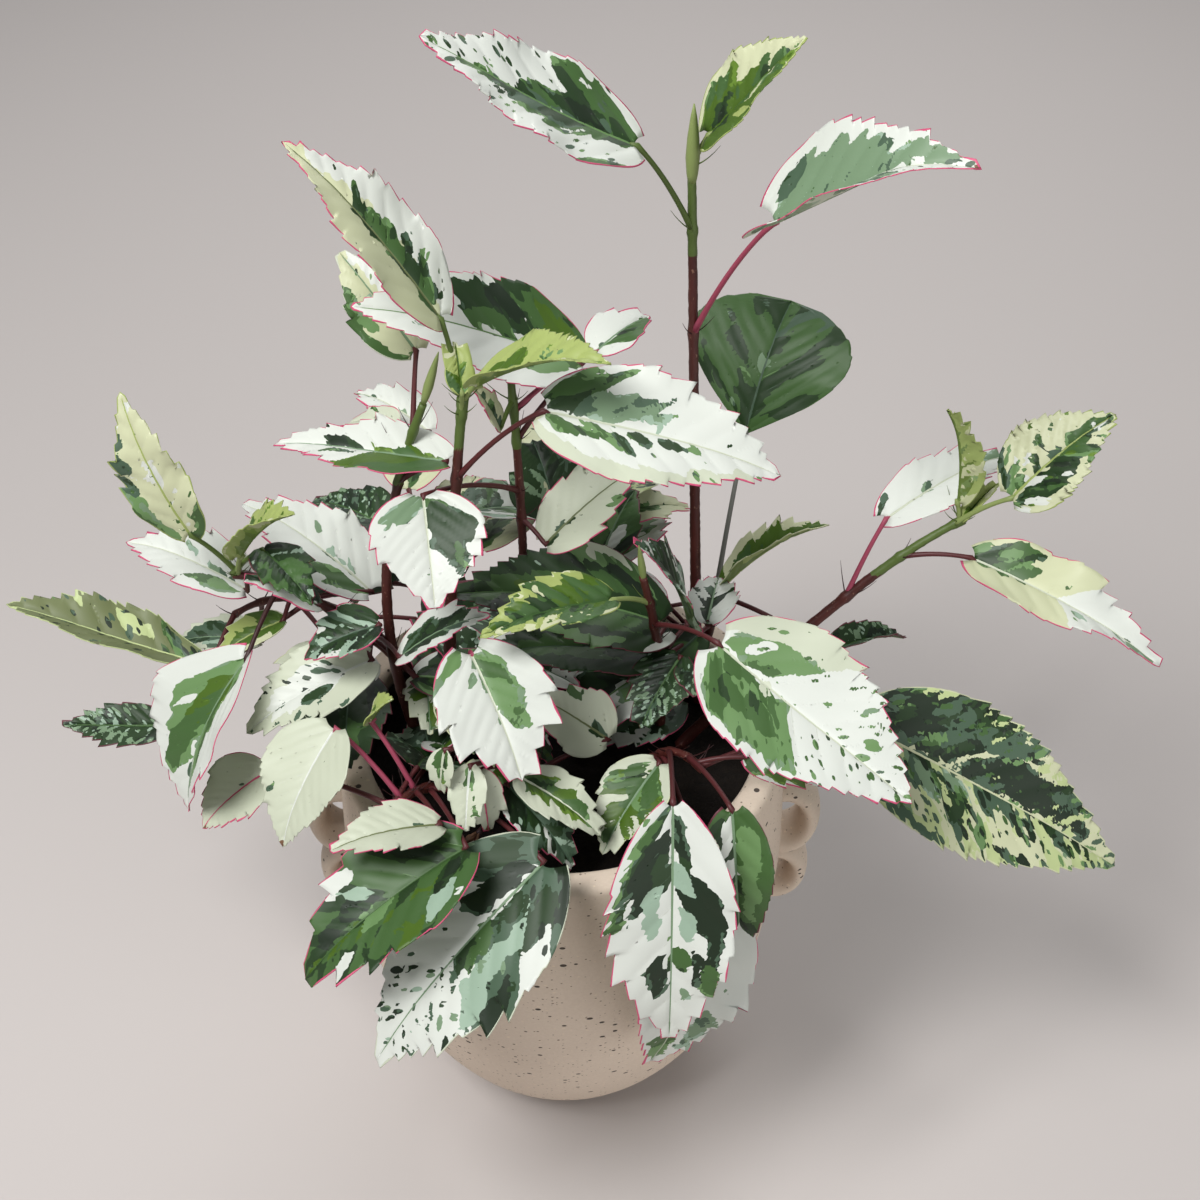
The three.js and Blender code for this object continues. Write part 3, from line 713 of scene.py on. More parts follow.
def blade_points(shoot, row):
    """Test points spread evenly over a blade, taken as flat."""
    along = direction(*row["blade"][:2])
    right, _ = leaf_axes(along, row["roll"])
    s, t = np.meshgrid(np.linspace(*TESTED_ALONG), np.linspace(*TESTED_ACROSS))
    aside = t * outline(s, row) * row["width"] / 2
    return leaf_base(shoot, row) + row["blade"][2] * (np.outer(s, along) + np.outer(aside, right))


# Shorter leaves fill the heart of the plant, low down. Each is turned by the golden angle from the last, and
# left out where it would rise out of the heart, meet the rim, touch an outer leaf or one on another shoot or,
# seen from the front, hide an outer leaf.
HEART_CENTRE = (-24, 4, 166)
HEART_SIZE = (108, 90, 66)
HEART_TOP = 232
HEART_SHOOTS = (
    "left_arm", "left_low", "front_left", "leader_foot", "centre", "front_low", "front_right", "back_left",
    "back_mid", "upper_back", "left_upright",
)
HEART_TRIES = 220
HEART_STEP = 31  # turns of the golden angle from one shoot's first leaf to the next one's
HEART_LOWEST = 0.12  # of the way up to the heart's top
HEART_STALK_RISE = (-20, 50)
HEART_STALK_LENGTH = (8, 42)
HEART_BLADE_RISE = (-42, 12)
HEART_BLADE_LENGTH = (30, 50)
HEART_TURN = 40
HEART_WIDTH = (0.52, 0.8)
HEART_ROLL = 25
HEART_SEEDS = 300
HEART_CLEARANCE = 3.6
HEART_CELL = 2.1
SOIL_CLEARANCE = 2
RIM_CLEARANCE = (69, 190)  # nearer the axis than this, or higher
HEART_LOOKS = (
    "leafy", "dark", "moss_wide", "mosaic_dark", "half_green", "dusty", "leafy", "dark_heart", "banded",
    "marbled",
)
OPEN_EDGE = 42  # x - y stays below this, so that the soil shows at the front on the right
COVER_ANGLE = 0.011  # in radians, between points that lie one behind the other
HEART_COVER = 9  # points of outer leaves that one may cover
HEART_MOST = 9


def heart_leaves(shoot, outer, dice, first):
    """Leaves of the heart on one shoot, clear of the test points of the leaves that are there already."""
    top = min(1, (HEART_TOP - SOIL_LINE) / (shoot["tip"][2] - SOIL_LINE))
    kept = []
    for k in range(HEART_TRIES):
        at = mix(HEART_LOWEST * top, top, dice())
        heading = (first + k) * GOLDEN_ANGLE
        stalk = (heading, mix(*HEART_STALK_RISE, dice()), mix(*HEART_STALK_LENGTH, dice()))
        blade = (
            heading + mix(-HEART_TURN, HEART_TURN, dice()),
            mix(*HEART_BLADE_RISE, dice()),
            mix(*HEART_BLADE_LENGTH, dice()),
        )
        look = HEART_LOOKS[(first + len(kept)) % len(HEART_LOOKS)]
        width = mix(*HEART_WIDTH, dice())
        roll = mix(-HEART_ROLL, HEART_ROLL, dice())
        row = leaf(at, stalk, blade, look, HEART_SEEDS + first + k, roll, width, stem="red", cell=HEART_CELL)
        points = blade_points(shoot, row)
        x, y, z = points.T
        inside = (((points - HEART_CENTRE) / HEART_SIZE) ** 2).sum(1).max() < 1
        clear_of_rim = (np.hypot(x, y) < RIM_CLEARANCE[0]) | (z > RIM_CLEARANCE[1])
        out_of_gap = (x - y).max() < OPEN_EDGE and z.min() >= SOIL_LINE + SOIL_CLEARANCE
        if not (inside and out_of_gap and clear_of_rim.all()):
            continue
        others = np.concatenate(outer)
        gaps = np.linalg.norm(points[:, None] - others[None], axis=2)
        if gaps.min() < HEART_CLEARANCE:
            continue
        eye = np.array(CAMERA_PLACE) / MM
        near, far = points - eye, others - eye
        near_range, far_range = np.linalg.norm(near, axis=1), np.linalg.norm(far, axis=1)
        aligned = (near / near_range[:, None]) @ (far / far_range[:, None]).T > math.cos(COVER_ANGLE)
        covered = (aligned & (far_range[None] > near_range[:, None])).any(0).sum()
        if covered > HEART_COVER:
            continue
        kept.append(row)
        if len(kept) == HEART_MOST:
            break
    return kept


# Two small ones low down: a shrivelled brown one, and a young yellow-green one.
SMALL_LEAVES = {
    "front_low": [leaf(0.3, (-117, 14, 43), (-121, -54, 13), "dried", 70, 0, 0.8, 60, stem="dark")],
    "front_left": [
        leaf(0.7, (148, 56, 31), (-13, 57, 16), "young", 71, 0, 0.9, 20, stem="pink", tooth=3, cell=0.9)
    ],
}

dice = random(MORE_SEED)
for name, shoot in SHOOTS.items():
    shoot["leaves"] = shoot["leaves"] + further_leaves(name, shoot, dice) + SMALL_LEAVES.get(name, [])
outer = [blade_points(shoot, row) for shoot in SHOOTS.values() for row in shoot["leaves"]]
heart = []
for k, name in enumerate(HEART_SHOOTS):
    found = heart_leaves(SHOOTS[name], outer + heart, dice, HEART_STEP * k)
    heart += [blade_points(SHOOTS[name], row) for row in found]
    SHOOTS[name]["leaves"] = SHOOTS[name]["leaves"] + found

# ---------------------------------------------------------------- stems
# Smooth young bark, dark red-brown at the foot and green near the tip, with a swollen ring at each leaf and
# small raised pores. One tube runs the whole length of a shoot.
STEM_SIDES = 14
STEM_STEP = 1.6  # between the tube's rings
FEWEST_RINGS = 4
SWELLING = 0.45
SWELLING_REACH = 2.2
BARK_LUMPS = 0.12
UPRIGHT = 0.9  # a tangent's rise, past which a tube's first side is taken from another axis
# Where a shoot turns green, as a share of its height. The others stay brown.
NEVER = 2
GREEN_FROM = {"leader": 0.86, "right_arm": 0.78, "upper_left": 0.88, "left_upright": 0.8, "upper_back": 0.8}
STEM_TINTS = {
    "red": (78, 30, 32),
    "dark": (50, 20, 20),
    "pink": (150, 62, 84),
    "green": (78, 96, 42),
    "lime": (126, 140, 82),
    "grey": (104, 104, 98),
}
stem_names = list(STEM_TINTS)


def tube(points, radii, sides, ripple=None):
    """A round skin over points, closed at both ends, as corners and faces. ripple adds to its radii."""
    points = np.asarray(points, float)
    tangents = np.gradient(points, axis=0)
    tangents /= np.linalg.norm(tangents, axis=1)[:, None]
    side = np.cross(tangents[0], [0, 0, 1]) if abs(tangents[0][2]) < UPRIGHT else np.array([1.0, 0, 0])
    angles = np.arange(sides) * 2 * math.pi / sides
    ripple = np.zeros((len(points), sides)) if ripple is None else ripple
    rings = []
    for i, (point, tangent) in enumerate(zip(points, tangents)):
        side = side - tangent * side.dot(tangent)
        side = side / np.linalg.norm(side)
        other = np.cross(tangent, side)
        reach = radii[i] * (1 + ripple[i])
        ring = np.outer(np.cos(angles) * reach, side) + np.outer(np.sin(angles) * reach, other)
        rings.append(point + ring)
    corners = np.concatenate([*rings, points[:1], points[-1:]])
    around = np.arange(sides)
    after = (around + 1) % sides
    faces = []
    for i in range(len(points) - 1):
        a, b = i * sides + around, i * sides + after
        faces.append(np.stack([a, b, b + sides], 1))
        faces.append(np.stack([a, b + sides, a + sides], 1))
    last = (len(points) - 1) * sides
    first_cap, last_cap = len(corners) - 2, len(corners) - 1
    faces.append(np.stack([np.full(sides, first_cap), after, around], 1))
    faces.append(np.stack([np.full(sides, last_cap), last + around, last + after], 1))
    return corners, np.concatenate(faces)


def joined(parts):
    """Several lots of corners, faces and slot numbers as one."""
    corners, faces, slots, count = [], [], [], 0
    for part_corners, part_faces, part_slots in parts:
        corners.append(part_corners)
        faces.append(part_faces + count)
        slots.append(np.broadcast_to(part_slots, len(part_faces)))
        count += len(part_corners)
    return np.concatenate(corners), np.concatenate(faces), np.concatenate(slots)


def make_piece(name, parts, materials):
    """One object made of several parts, with a material for each slot."""
    corners, faces, slots = joined(parts)
    mesh = bpy.data.meshes.new(name)
    mesh.from_pydata((corners * MM).tolist(), [], faces.tolist())
    for material in materials:
        mesh.materials.append(material)
    mesh.polygons.foreach_set("material_index", slots.astype(np.int32))
    mesh.shade_smooth()
    mesh.update()
    made = bpy.data.objects.new(name, mesh)
    bpy.context.scene.collection.objects.link(made)
    return made


def stem_part(name, shoot):
    """A shoot's stem from the soil to its tip, swollen at each leaf, in bark below and green above."""
    length = np.linalg.norm(np.array(shoot["tip"]) - np.array((*shoot["root"], SOIL_LINE)))
    places = np.linspace(0, 1, max(FEWEST_RINGS, int(length / STEM_STEP)))
    points = [shoot_point(shoot, t) for t in places]
    swelling = sum(
        np.exp(-(((places - row["at"]) * length / SWELLING_REACH) ** 2)) for row in shoot["leaves"]
    )
    radii = mix(*shoot["radius"], places) + SWELLING * np.minimum(swelling, 1)
    tenths = int(length * 10)
    lumps = BARK_LUMPS * (np.random.default_rng(tenths).random((len(places), STEM_SIDES)) - 0.5)
    corners, faces = tube(points, radii, STEM_SIDES, lumps)
    reached = (corners[faces].mean(1)[:, 2] - SOIL_LINE) / (shoot["tip"][2] - SOIL_LINE)
    is_green = reached > GREEN_FROM.get(name, NEVER)
    return corners, faces, np.where(is_green, 1 + stem_names.index("green"), 0)


def bark():
    """Dark red-brown young bark with fine pale pores and long cloudy streaks."""
    finish = Finish("bark", Roughness=0.5, Specular_IOR_Level=0.4)
    streaks = finish.noise(260, 4, (1, 1, 0.25))
    pores = finish.noise(900, 2, (1, 1, 0.6))
    skin = finish.blend(streaks, colour(40, 14, 12), colour(92, 40, 34))
    spots = ((pores - 0.66) * 14).clipped()
    skin = finish.blend(spots * 0.6, skin, colour(150, 112, 92))
    finish.feed(finish.shader.inputs["Base Color"], skin)
    finish.bump(streaks + spots, 0.4, 0.0004)
    return finish.material


def plain(name, shade, roughness=0.5):
    """A material of one colour."""
    return Finish(name, Base_Color=colour(*shade), Roughness=roughness, Specular_IOR_Level=0.4).material


stem_skins = [bark()] + [plain("stalk_" + name, tint) for name, tint in STEM_TINTS.items()]
stems = make_piece("stems", [stem_part(name, shoot) for name, shoot in SHOOTS.items()], stem_skins)
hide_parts(*[name + "_stem" for name in SHOOTS])
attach(stems, "root")

# ---------------------------------------------------------------- leaves
# Thin blades with a toothed, often pink margin, a pale midrib, and flesh that swells between the side veins.
# The green flesh lies in sharp-edged patches that follow the veins, over white or cream. A blade is a net of
# faces, cut along the edges of its patches, tinted, folded and given its thickness.
TINTS = {
    # name: seen from above, seen from below
    "white": ((202, 205, 197), (184, 188, 168)),
    "pale": ((186, 191, 170), (178, 182, 158)),
    "cream": ((190, 193, 158), (174, 178, 140)),
    "lime": ((150, 163, 94), (138, 152, 88)),
    "pistachio": ((176, 188, 134), (156, 166, 118)),
    "olive": ((104, 112, 74), (98, 108, 66)),
    "ivory": ((188, 191, 179), (176, 180, 160)),
    "moss": ((66, 94, 20), (92, 112, 48)),
    "grass": ((92, 122, 38), (110, 132, 60)),
    "fern": ((98, 130, 80), (118, 140, 94)),
    "sage": ((110, 134, 104), (126, 144, 112)),
    "frost": ((142, 164, 144), (146, 162, 138)),
    "slate": ((66, 88, 68), (92, 110, 84)),
    "leaf": ((60, 90, 44), (100, 120, 66)),
    "dark": ((31, 54, 23), (78, 98, 56)),
    "deep": ((20, 36, 17), (62, 80, 48)),
    "pink": ((192, 74, 110), (184, 92, 116)),
    "plum": ((92, 40, 50), (100, 58, 62)),
    "brown": ((112, 80, 58), (96, 68, 48)),
}
tint_names = list(TINTS)
UNDERSIDE_ROUGHNESS = 0.6
leaf_skins = [plain("leaf_" + name, above) for name, (above, _) in TINTS.items()]
for name, (_, below) in TINTS.items():
    leaf_skins.append(plain("leaf_" + name + "_below", below, UNDERSIDE_ROUGHNESS))

# Each look has a ground, a margin and a midrib. Its blots are (tint, start and end along the blade, start and
# end across it from -1 at the left margin to 1 at the right one). Its patches lie anywhere, as (tint, cover,
# change of cover along, outwards and to the right, size in mm). Its specks are (tint, number at the foot and
# at the tip, size in mm). All are laid on in that order.
LOOKS = {
    "sage_heart": dict(
        ground="white", margin="pink", midrib="pale",
        blots=[("sage", 0, 0.64, -0.74, 0.14), ("sage", 0.55, 0.78, -0.42, 0.06),
               ("sage", 0.74, 0.96, -0.86, -0.1), ("sage", 0, 0.36, 0.1, 0.95),
               ("sage", 0.5, 0.74, 0.35, 0.85), ("brown", 0.975, 1.1, -2, 2)],
        specks=[("sage", 30, 60, 0.7), ("leaf", 20, 60, 0.6)],
    ),
    "green_band": dict(
        ground="white", margin="pink", midrib="fern",
        blots=[("leaf", 0, 0.3, -0.3, 0.86), ("leaf", 0.2, 0.56, -0.5, 0.3),
               ("leaf", 0.52, 0.84, -0.36, 0.1), ("slate", 0.25, 0.6, -0.35, 0.05),
               ("dark", 0.12, 0.4, 0.02, 0.26), ("leaf", 0.06, 0.3, -1.2, -0.86)],
        patches=[("white", -0.95, 0.4, 0.3, 0, 3)],
        specks=[("leaf", 50, 150, 0.7), ("slate", 20, 50, 1)],
    ),
    "young_wide": dict(
        ground="cream", margin="lime", midrib="moss", puckered=1.4,
        blots=[("moss", -0.1, 0.3, -0.85, 1.2), ("moss", 0.2, 0.68, -0.4, 0.3), ("moss", 0.3, 1, 0.35, 1.2),
               ("leaf", 0.6, 0.95, -0.25, 0.1), ("dark", 0.02, 0.25, -0.3, 0.3),
               ("lime", 0.4, 0.5, 0.5, 0.9)],
        specks=[("moss", 16, 20, 0.8)],
    ),
    "green_heart": dict(
        ground="white", margin="pink", midrib="sage",
        blots=[("fern", 0.03, 0.6, -0.3, 0.62), ("moss", 0.1, 0.42, -0.2, 0.3), ("fern", 0.5, 0.68, -0.45, 0),
               ("white", 0.34, 0.42, 0.3, 0.6), ("fern", 0.66, 0.84, 0.1, 0.86), ("sage", 0.7, 0.84, -0.4, 0),
               ("white", 0.2, 0.3, -0.3, -0.14)],
        specks=[("sage", 2, 6, 0.8)],
    ),
    "dark_heart": dict(
        ground="white", margin="pink", midrib="sage",
        blots=[("dark", 0.02, 0.7, -0.6, 0.55), ("slate", 0.1, 0.5, -0.4, -0.1),
               ("sage", 0.6, 0.8, 0.1, 0.5)],
        specks=[("dark", 2, 8, 1.1)],
    ),
    "dark_side": dict(
        ground="white", margin="pink", midrib="sage",
        blots=[("dark", -0.1, 0.98, -0.12, 1.2), ("leaf", 0.1, 0.5, 0.3, 0.8)],
        specks=[],
    ),
    "young": dict(
        ground="lime", margin="lime", midrib="moss", puckered=1.4,
        blots=[("moss", 0.02, 0.4, -0.5, 0.45)],
        patches=[("moss", -0.5, -0.5, -0.3, 0, 4), ("cream", -0.8, 0, 0.6, 0, 5)],
        specks=[("moss", 10, 10, 0.8)],
    ),
    "young_cream": dict(
        ground="cream", margin="lime", midrib="lime", puckered=1.9,
        blots=[("dark", 0.02, 0.66, 0.06, 0.72), ("leaf", 0.6, 0.92, -0.3, 0.5),
               ("leaf", 0, 0.1, -0.9, -0.3)],
        patches=[("leaf", -0.25, 0, -0.6, 0, 3.4), ("white", -0.7, 0, 0, 0, 5)],
        specks=[("moss", 30, 50, 0.9)],
    ),
    "crinkled": dict(
        ground="moss", margin="lime", midrib="leaf", puckered=2.1,
        blots=[("lime", 0.15, 1.1, 0.7, 1.2), ("cream", 0.05, 0.62, -1.2, -0.5),
               ("lime", 0.6, 1.1, -1.2, -0.5)],
        patches=[("leaf", 0.05, -0.5, -0.4, 0, 6), ("lime", -0.75, 0.6, 0.5, 0, 4),
                 ("cream", -0.9, 0.6, 0.5, 0, 4)],
        specks=[("moss", 10, 30, 0.9)],
    ),
    "crinkled_dark": dict(
        ground="dark", margin="plum", midrib="leaf", puckered=1.8,
        patches=[("leaf", -0.2, 0.3, 0.3, 0, 7), ("frost", -0.95, 0, 0.3, 0, 6)],
        specks=[],
    ),
    "white": dict(
        ground="white", margin="pink", midrib="pale",
        blots=[("sage", 0.28, 0.4, -0.22, 0.02), ("sage", 0.66, 0.94, -0.62, 0.05),
               ("dark", -0.05, 0.1, -1, -0.6)],
        specks=[("slate", 6, 6, 0.6)],
    ),
    "white_foot": dict(
        ground="white", margin="pink", midrib="pale",
        blots=[("fern", 0, 0.34, -0.7, -0.22), ("sage", 0.12, 0.4, 0, 0.16), ("sage", 0.46, 0.52, 0.3, 0.44)],
        specks=[("sage", 3, 3, 0.8)],
    ),
    "cream": dict(
        ground="pale", margin="pink", midrib="olive",
        blots=[("slate", 0, 0.3, -0.1, 0.14), ("leaf", 0.62, 0.7, 0.7, 1)],
        specks=[("leaf", 2, 5, 0.8)],
    ),
    "greyish": dict(
        ground="pale", margin="pale", midrib="white",
        blots=[("leaf", 0.55, 0.6, 0.55, 0.75), ("leaf", 0.62, 0.68, 0.75, 0.9),
               ("brown", 0.955, 1.1, -2, 2)],
        specks=[("leaf", 2, 14, 0.6)],
    ),
    "pink_pale": dict(
        ground="pale", margin="pink", midrib="pink",
        blots=[("brown", 0.93, 1.1, -2, 2)],
        specks=[("slate", 3, 8, 0.6)],
    ),
    "green_foot": dict(
        ground="white", margin="pink", midrib="pale",
        blots=[("cream", -0.1, 0.45, -1.2, 1.2), ("leaf", -0.1, 0.24, -0.85, 0.12),
               ("fern", 0.12, 0.2, -0.6, -0.2), ("leaf", 0.2, 0.3, -0.45, 0.1),
               ("sage", 0.52, 0.6, 0.2, 0.4), ("sage", 0.78, 0.96, 0.1, 0.7)],
        specks=[("leaf", 1, 20, 0.8)],
    ),
    "sage_foot": dict(
        ground="white", margin="pale", midrib="sage",
        blots=[("slate", -0.1, 0.26, 0.2, 1.2), ("deep", 0.04, 0.34, 0.02, 0.4),
               ("slate", -0.1, 0.5, -1.2, -0.02), ("frost", 0.18, 0.5, -0.56, -0.32),
               ("frost", 0.46, 0.58, -0.9, -0.3), ("leaf", 0.3, 0.52, -0.28, 0),
               ("deep", 0.4, 0.54, -1.2, -0.72), ("deep", -0.1, 0.12, -1.2, -0.74),
               ("white", 0.16, 0.34, -1.2, -0.7)],
        specks=[("dark", 4, 240, 0.8), ("deep", 0, 40, 1.4), ("sage", 0, 60, 1.2), ("brown", 0, 1, 3)],
    ),
    "speckled": dict(
        ground="white", margin="pink", midrib="pale",
        blots=[("pale", -0.1, 0.42, -1.2, -0.5), ("fern", 0.02, 0.32, -0.6, -0.03),
               ("fern", 0.02, 0.5, 0.02, 0.92), ("leaf", 0.12, 0.4, 0.3, 0.6),
               ("pale", 0.24, 0.3, -0.02, 0.2), ("white", 0.1, 0.17, -0.5, -0.2)],
        specks=[("leaf", 10, 240, 0.7), ("fern", 0, 50, 1.3)],
    ),
    "mottled": dict(
        ground="cream", margin="cream", midrib="cream",
        blots=[("deep", -0.1, 0.42, -1, -0.06), ("sage", 0.02, 0.42, 0, 0.4),
               ("deep", 0.4, 0.86, -0.62, -0.03), ("deep", 0.66, 0.8, -1.2, -0.5),
               ("slate", 0.26, 0.5, -0.9, -0.5), ("deep", 0.34, 0.45, 0.3, 0.64),
               ("deep", 0.56, 0.7, 0.1, 0.32), ("deep", 0.56, 0.68, 0.76, 1.2),
               ("dark", 0.74, 0.9, 0.2, 0.5)],
        patches=[("pistachio", -0.35, 0.2, 0.2, 0.4, 5), ("slate", -0.3, -0.3, -0.1, -0.35, 6),
                 ("fern", -0.7, 0, 0, 0, 4)],
        specks=[("deep", 60, 110, 1.1), ("leaf", 60, 90, 0.9)],
    ),
    "dim_mottled": dict(
        ground="olive", margin="pistachio", midrib="pistachio",
        blots=[("pistachio", 0.3, 0.5, 0.3, 0.7)],
        patches=[("pistachio", -0.85, 0.3, 0, 0, 6), ("leaf", -0.75, -0.4, 0, 0, 6)],
        specks=[("deep", 60, 110, 0.9)],
    ),
    "banded_white": dict(
        ground="white", margin="pink", midrib="sage",
        blots=[("leaf", 0.03, 0.3, 0.28, 0.86), ("dark", 0.14, 0.37, 0.04, 0.72),
               ("leaf", 0.37, 0.46, 0.72, 1), ("frost", 0.31, 0.5, 0.2, 0.42),
               ("deep", 0.63, 0.78, 0.12, 0.6), ("dark", 0.04, 0.34, -0.36, -0.06),
               ("deep", 0.28, 0.5, -0.84, -0.14), ("deep", 0.46, 0.66, -0.9, -0.6),
               ("leaf", 0.62, 0.76, -1, -0.7), ("frost", 0.2, 0.32, -0.3, -0.06),
               ("frost", 0.4, 0.54, -0.42, -0.1), ("leaf", 0.54, 0.66, -0.34, 0.02),
               ("deep", 0.56, 0.72, -0.62, -0.4), ("sage", 0.72, 0.8, -0.5, -0.2)],
        specks=[("deep", 0, 2, 1.2)],
    ),
    "mosaic": dict(
        ground="white", margin="pink", midrib="sage",
        patches=[("sage", -0.2, -0.3, -0.3, 0, 13), ("dark", -0.3, -0.7, -0.3, 0, 13),
                 ("leaf", -0.7, 0, 0, 0, 9)],
        specks=[("dark", 2, 4, 1.4)],
    ),
    "pale_mosaic": dict(
        ground="white", margin="pink", midrib="pale",
        blots=[("fern", 0.74, 0.97, -0.3, 0.9), ("sage", 0.6, 0.86, -0.9, -0.4)],
        specks=[("sage", 3, 6, 1)],
    ),
    "mosaic_dark": dict(
        ground="dark", margin="pink", midrib="slate",
        patches=[("frost", -0.35, 0.8, 0.6, 0, 5), ("slate", -0.1, 0.2, 0, 0, 7),
                 ("white", -0.85, 0.9, 0.8, 0, 5)],
        specks=[("deep", 30, 20, 1.7), ("frost", 10, 40, 0.8)],
    ),
    "white_strip": dict(
        ground="leaf", margin="plum", midrib="sage",
        blots=[("white", 0.03, 0.46, 0.03, 0.4), ("fern", 0.1, 0.7, -0.7, -0.1),
               ("dark", 0.06, 0.4, 0.5, 0.9), ("dark", 0.76, 0.95, -0.8, -0.2)],
        specks=[],
    ),
    "green_strip": dict(
        ground="white", margin="pink", midrib="sage",
        blots=[("moss", 0.02, 0.96, 0.25, 0.85)],
        specks=[("leaf", 2, 4, 1)],
    ),
    "two_blots": dict(
        ground="pale", margin="pale", midrib="white",
        blots=[("leaf", 0.04, 0.36, -0.1, 0.34), ("leaf", 0.42, 0.8, -0.7, -0.36)],
        specks=[],
    ),
    "green_side": dict(
        ground="white", margin="pink", midrib="pale",
        blots=[("fern", -0.05, 0.5, -0.5, 0.05), ("fern", 0.4, 0.66, -0.6, 0), ("fern", 0, 0.16, 0.5, 0.98),
               ("fern", 0.14, 0.26, 0.1, 0.36)],
        specks=[],
    ),
    "sage_strip": dict(
        ground="white", margin="pink", midrib="pale",
        blots=[("leaf", 0, 0.22, -0.9, -0.04), ("sage", 0.16, 0.42, -0.56, -0.03),
               ("sage", 0.4, 0.52, -0.42, -0.1), ("leaf", 0.02, 0.34, 0.12, 0.42),
               ("leaf", 0.34, 0.66, 0.1, 0.26), ("pale", -0.1, 0.9, 0.7, 1.2)],
        specks=[("leaf", 2, 70, 0.8)],
    ),
    "moss_heart": dict(
        ground="pale", margin="pale", midrib="pale",
        blots=[("moss", 0.02, 0.84, -0.5, 0.46), ("leaf", 0.1, 0.4, -0.3, 0.1),
               ("pale", 0.45, 0.56, 0.2, 0.6)],
        specks=[("moss", 4, 20, 0.9)],
    ),
    "cream_green": dict(
        ground="cream", margin="pink", midrib="leaf",
        blots=[("leaf", 0.03, 0.62, -0.12, 0.36)],
        patches=[("dark", -0.9, -0.3, -0.4, 0, 7)],
        specks=[("dark", 4, 26, 0.9)],
    ),
    "cream_side": dict(
        ground="cream", margin="lime", midrib="lime",
        blots=[("fern", 0.04, 0.42, -1.2, -0.5), ("slate", 0.4, 0.76, -1.2, -0.72),
               ("leaf", -0.05, 0.2, 0.4, 1.2), ("white", 0.4, 0.6, -0.3, 0.2)],
        patches=[("white", -0.7, 0.2, 0, 0, 4)],
        specks=[("leaf", 30, 50, 0.7)],
    ),
    "half_green": dict(
        ground="white", margin="pink", midrib="fern",
        blots=[("leaf", -0.1, 0.27, -0.4, 1.2), ("dark", 0.31, 0.6, 0.16, 0.9),
               ("fern", 0.1, 0.36, -0.6, -0.1), ("moss", 0.04, 0.22, 0.3, 0.8),
               ("leaf", 0.36, 0.56, 0.02, 0.4), ("sage", 0.62, 0.76, -0.5, -0.26)],
        specks=[("sage", 3, 6, 1.2)],
    ),
    "green_end": dict(
        ground="white", margin="pink", midrib="sage",
        blots=[("leaf", 0.25, 1.1, 0.05, 1.2), ("dark", 0.5, 0.7, 0.2, 0.6)],
        specks=[("leaf", 14, 10, 0.8)],
    ),
    "arc": dict(
        ground="white", margin="pink", midrib="pale",
        blots=[("sage", 0.03, 0.24, 0.02, 0.78), ("leaf", 0.02, 0.16, -0.5, 0.02),
               ("dark", 0.12, 0.62, -0.8, -0.02), ("leaf", 0.5, 0.7, -0.84, -0.5),
               ("sage", 0.66, 0.76, 0.02, 0.16)],
        specks=[("dark", 0, 6, 1)],
    ),
    "shaded_half": dict(
        ground="white", margin="pink", midrib="sage",
        blots=[("moss", -0.1, 0.5, -1.2, 0.2), ("leaf", 0.48, 0.66, -0.5, -0.1),
               ("dark", 0.56, 0.74, 0.1, 0.5)],
        specks=[("dark", 2, 4, 1)],
    ),
    "dark_edge": dict(
        ground="cream", margin="pale", midrib="sage",
        blots=[("leaf", 0, 0.8, -1.2, -0.72), ("fern", 0.3, 0.7, -0.76, -0.5),
               ("frost", 0.5, 0.62, -0.3, 0.14), ("white", 0.1, 0.9, 0.3, 1.2)],
        specks=[("leaf", 10, 20, 0.8)],
    ),
    "cream_white": dict(
        ground="cream", margin="pink", midrib="olive",
        blots=[("white", -0.1, 0.9, 0.3, 1.2), ("leaf", 0.03, 0.62, -0.12, 0.4),
               ("dark", 0.1, 0.4, 0.3, 0.5)],
        patches=[("leaf", -0.95, -0.3, -0.4, 0, 6)],
        specks=[("dark", 4, 26, 0.9)],
    ),
    "moss_wide": dict(
        ground="pale", margin="cream", midrib="sage",
        blots=[("moss", 0.02, 0.9, -0.84, 0.8), ("fern", 0.3, 0.5, -0.4, 0.1), ("leaf", 0.05, 0.3, 0.2, 0.6)],
        patches=[("pale", -0.5, 0.3, 0.5, 0, 5)],
        specks=[("moss", 20, 60, 0.9)],
    ),
    "leafy": dict(
        ground="leaf", margin="pink", midrib="leaf",
        blots=[("white", 0.08, 0.4, 0.86, 1.2), ("dark", 0.06, 0.36, 0.3, 0.8),
               ("moss", 0.22, 0.58, -0.96, -0.24), ("frost", 0.14, 0.3, -0.84, -0.46),
               ("dark", 0.5, 0.97, 0.06, 0.5), ("moss", 0.6, 0.99, -0.4, -0.02),
               ("white", 0.52, 0.66, 0.78, 1.2), ("fern", 0.46, 0.6, -0.3, 0.06),
               ("frost", 0.54, 0.6, 0.3, 0.8), ("white", 0.72, 0.8, -1.2, -0.6),
               ("dark", 0.06, 0.2, -0.5, -0.1)],
        specks=[("white", 3, 4, 0.9)],
    ),
    "sprinkled": dict(
        ground="pale", margin="pale", midrib="white",
        blots=[("white", 0.2, 0.8, -0.5, 0.5), ("dark", 0.3, 0.38, 0.3, 0.52),
               ("slate", 0.3, 0.58, -0.4, -0.14), ("slate", 0.76, 0.88, 0, 0.3)],
        specks=[("deep", 70, 60, 0.7), ("slate", 30, 20, 1.1)],
    ),
    "dull": dict(
        ground="leaf", margin="leaf", midrib="slate",
        blots=[("fern", 0.3, 0.44, -0.36, -0.06), ("sage", 0.46, 0.54, -0.12, 0.02),
               ("sage", 0.5, 0.54, 0.02, 0.2)],
        patches=[("slate", -0.7, 0, 0, 0.3, 20)],
        specks=[("sage", 6, 2, 1.1)],
    ),
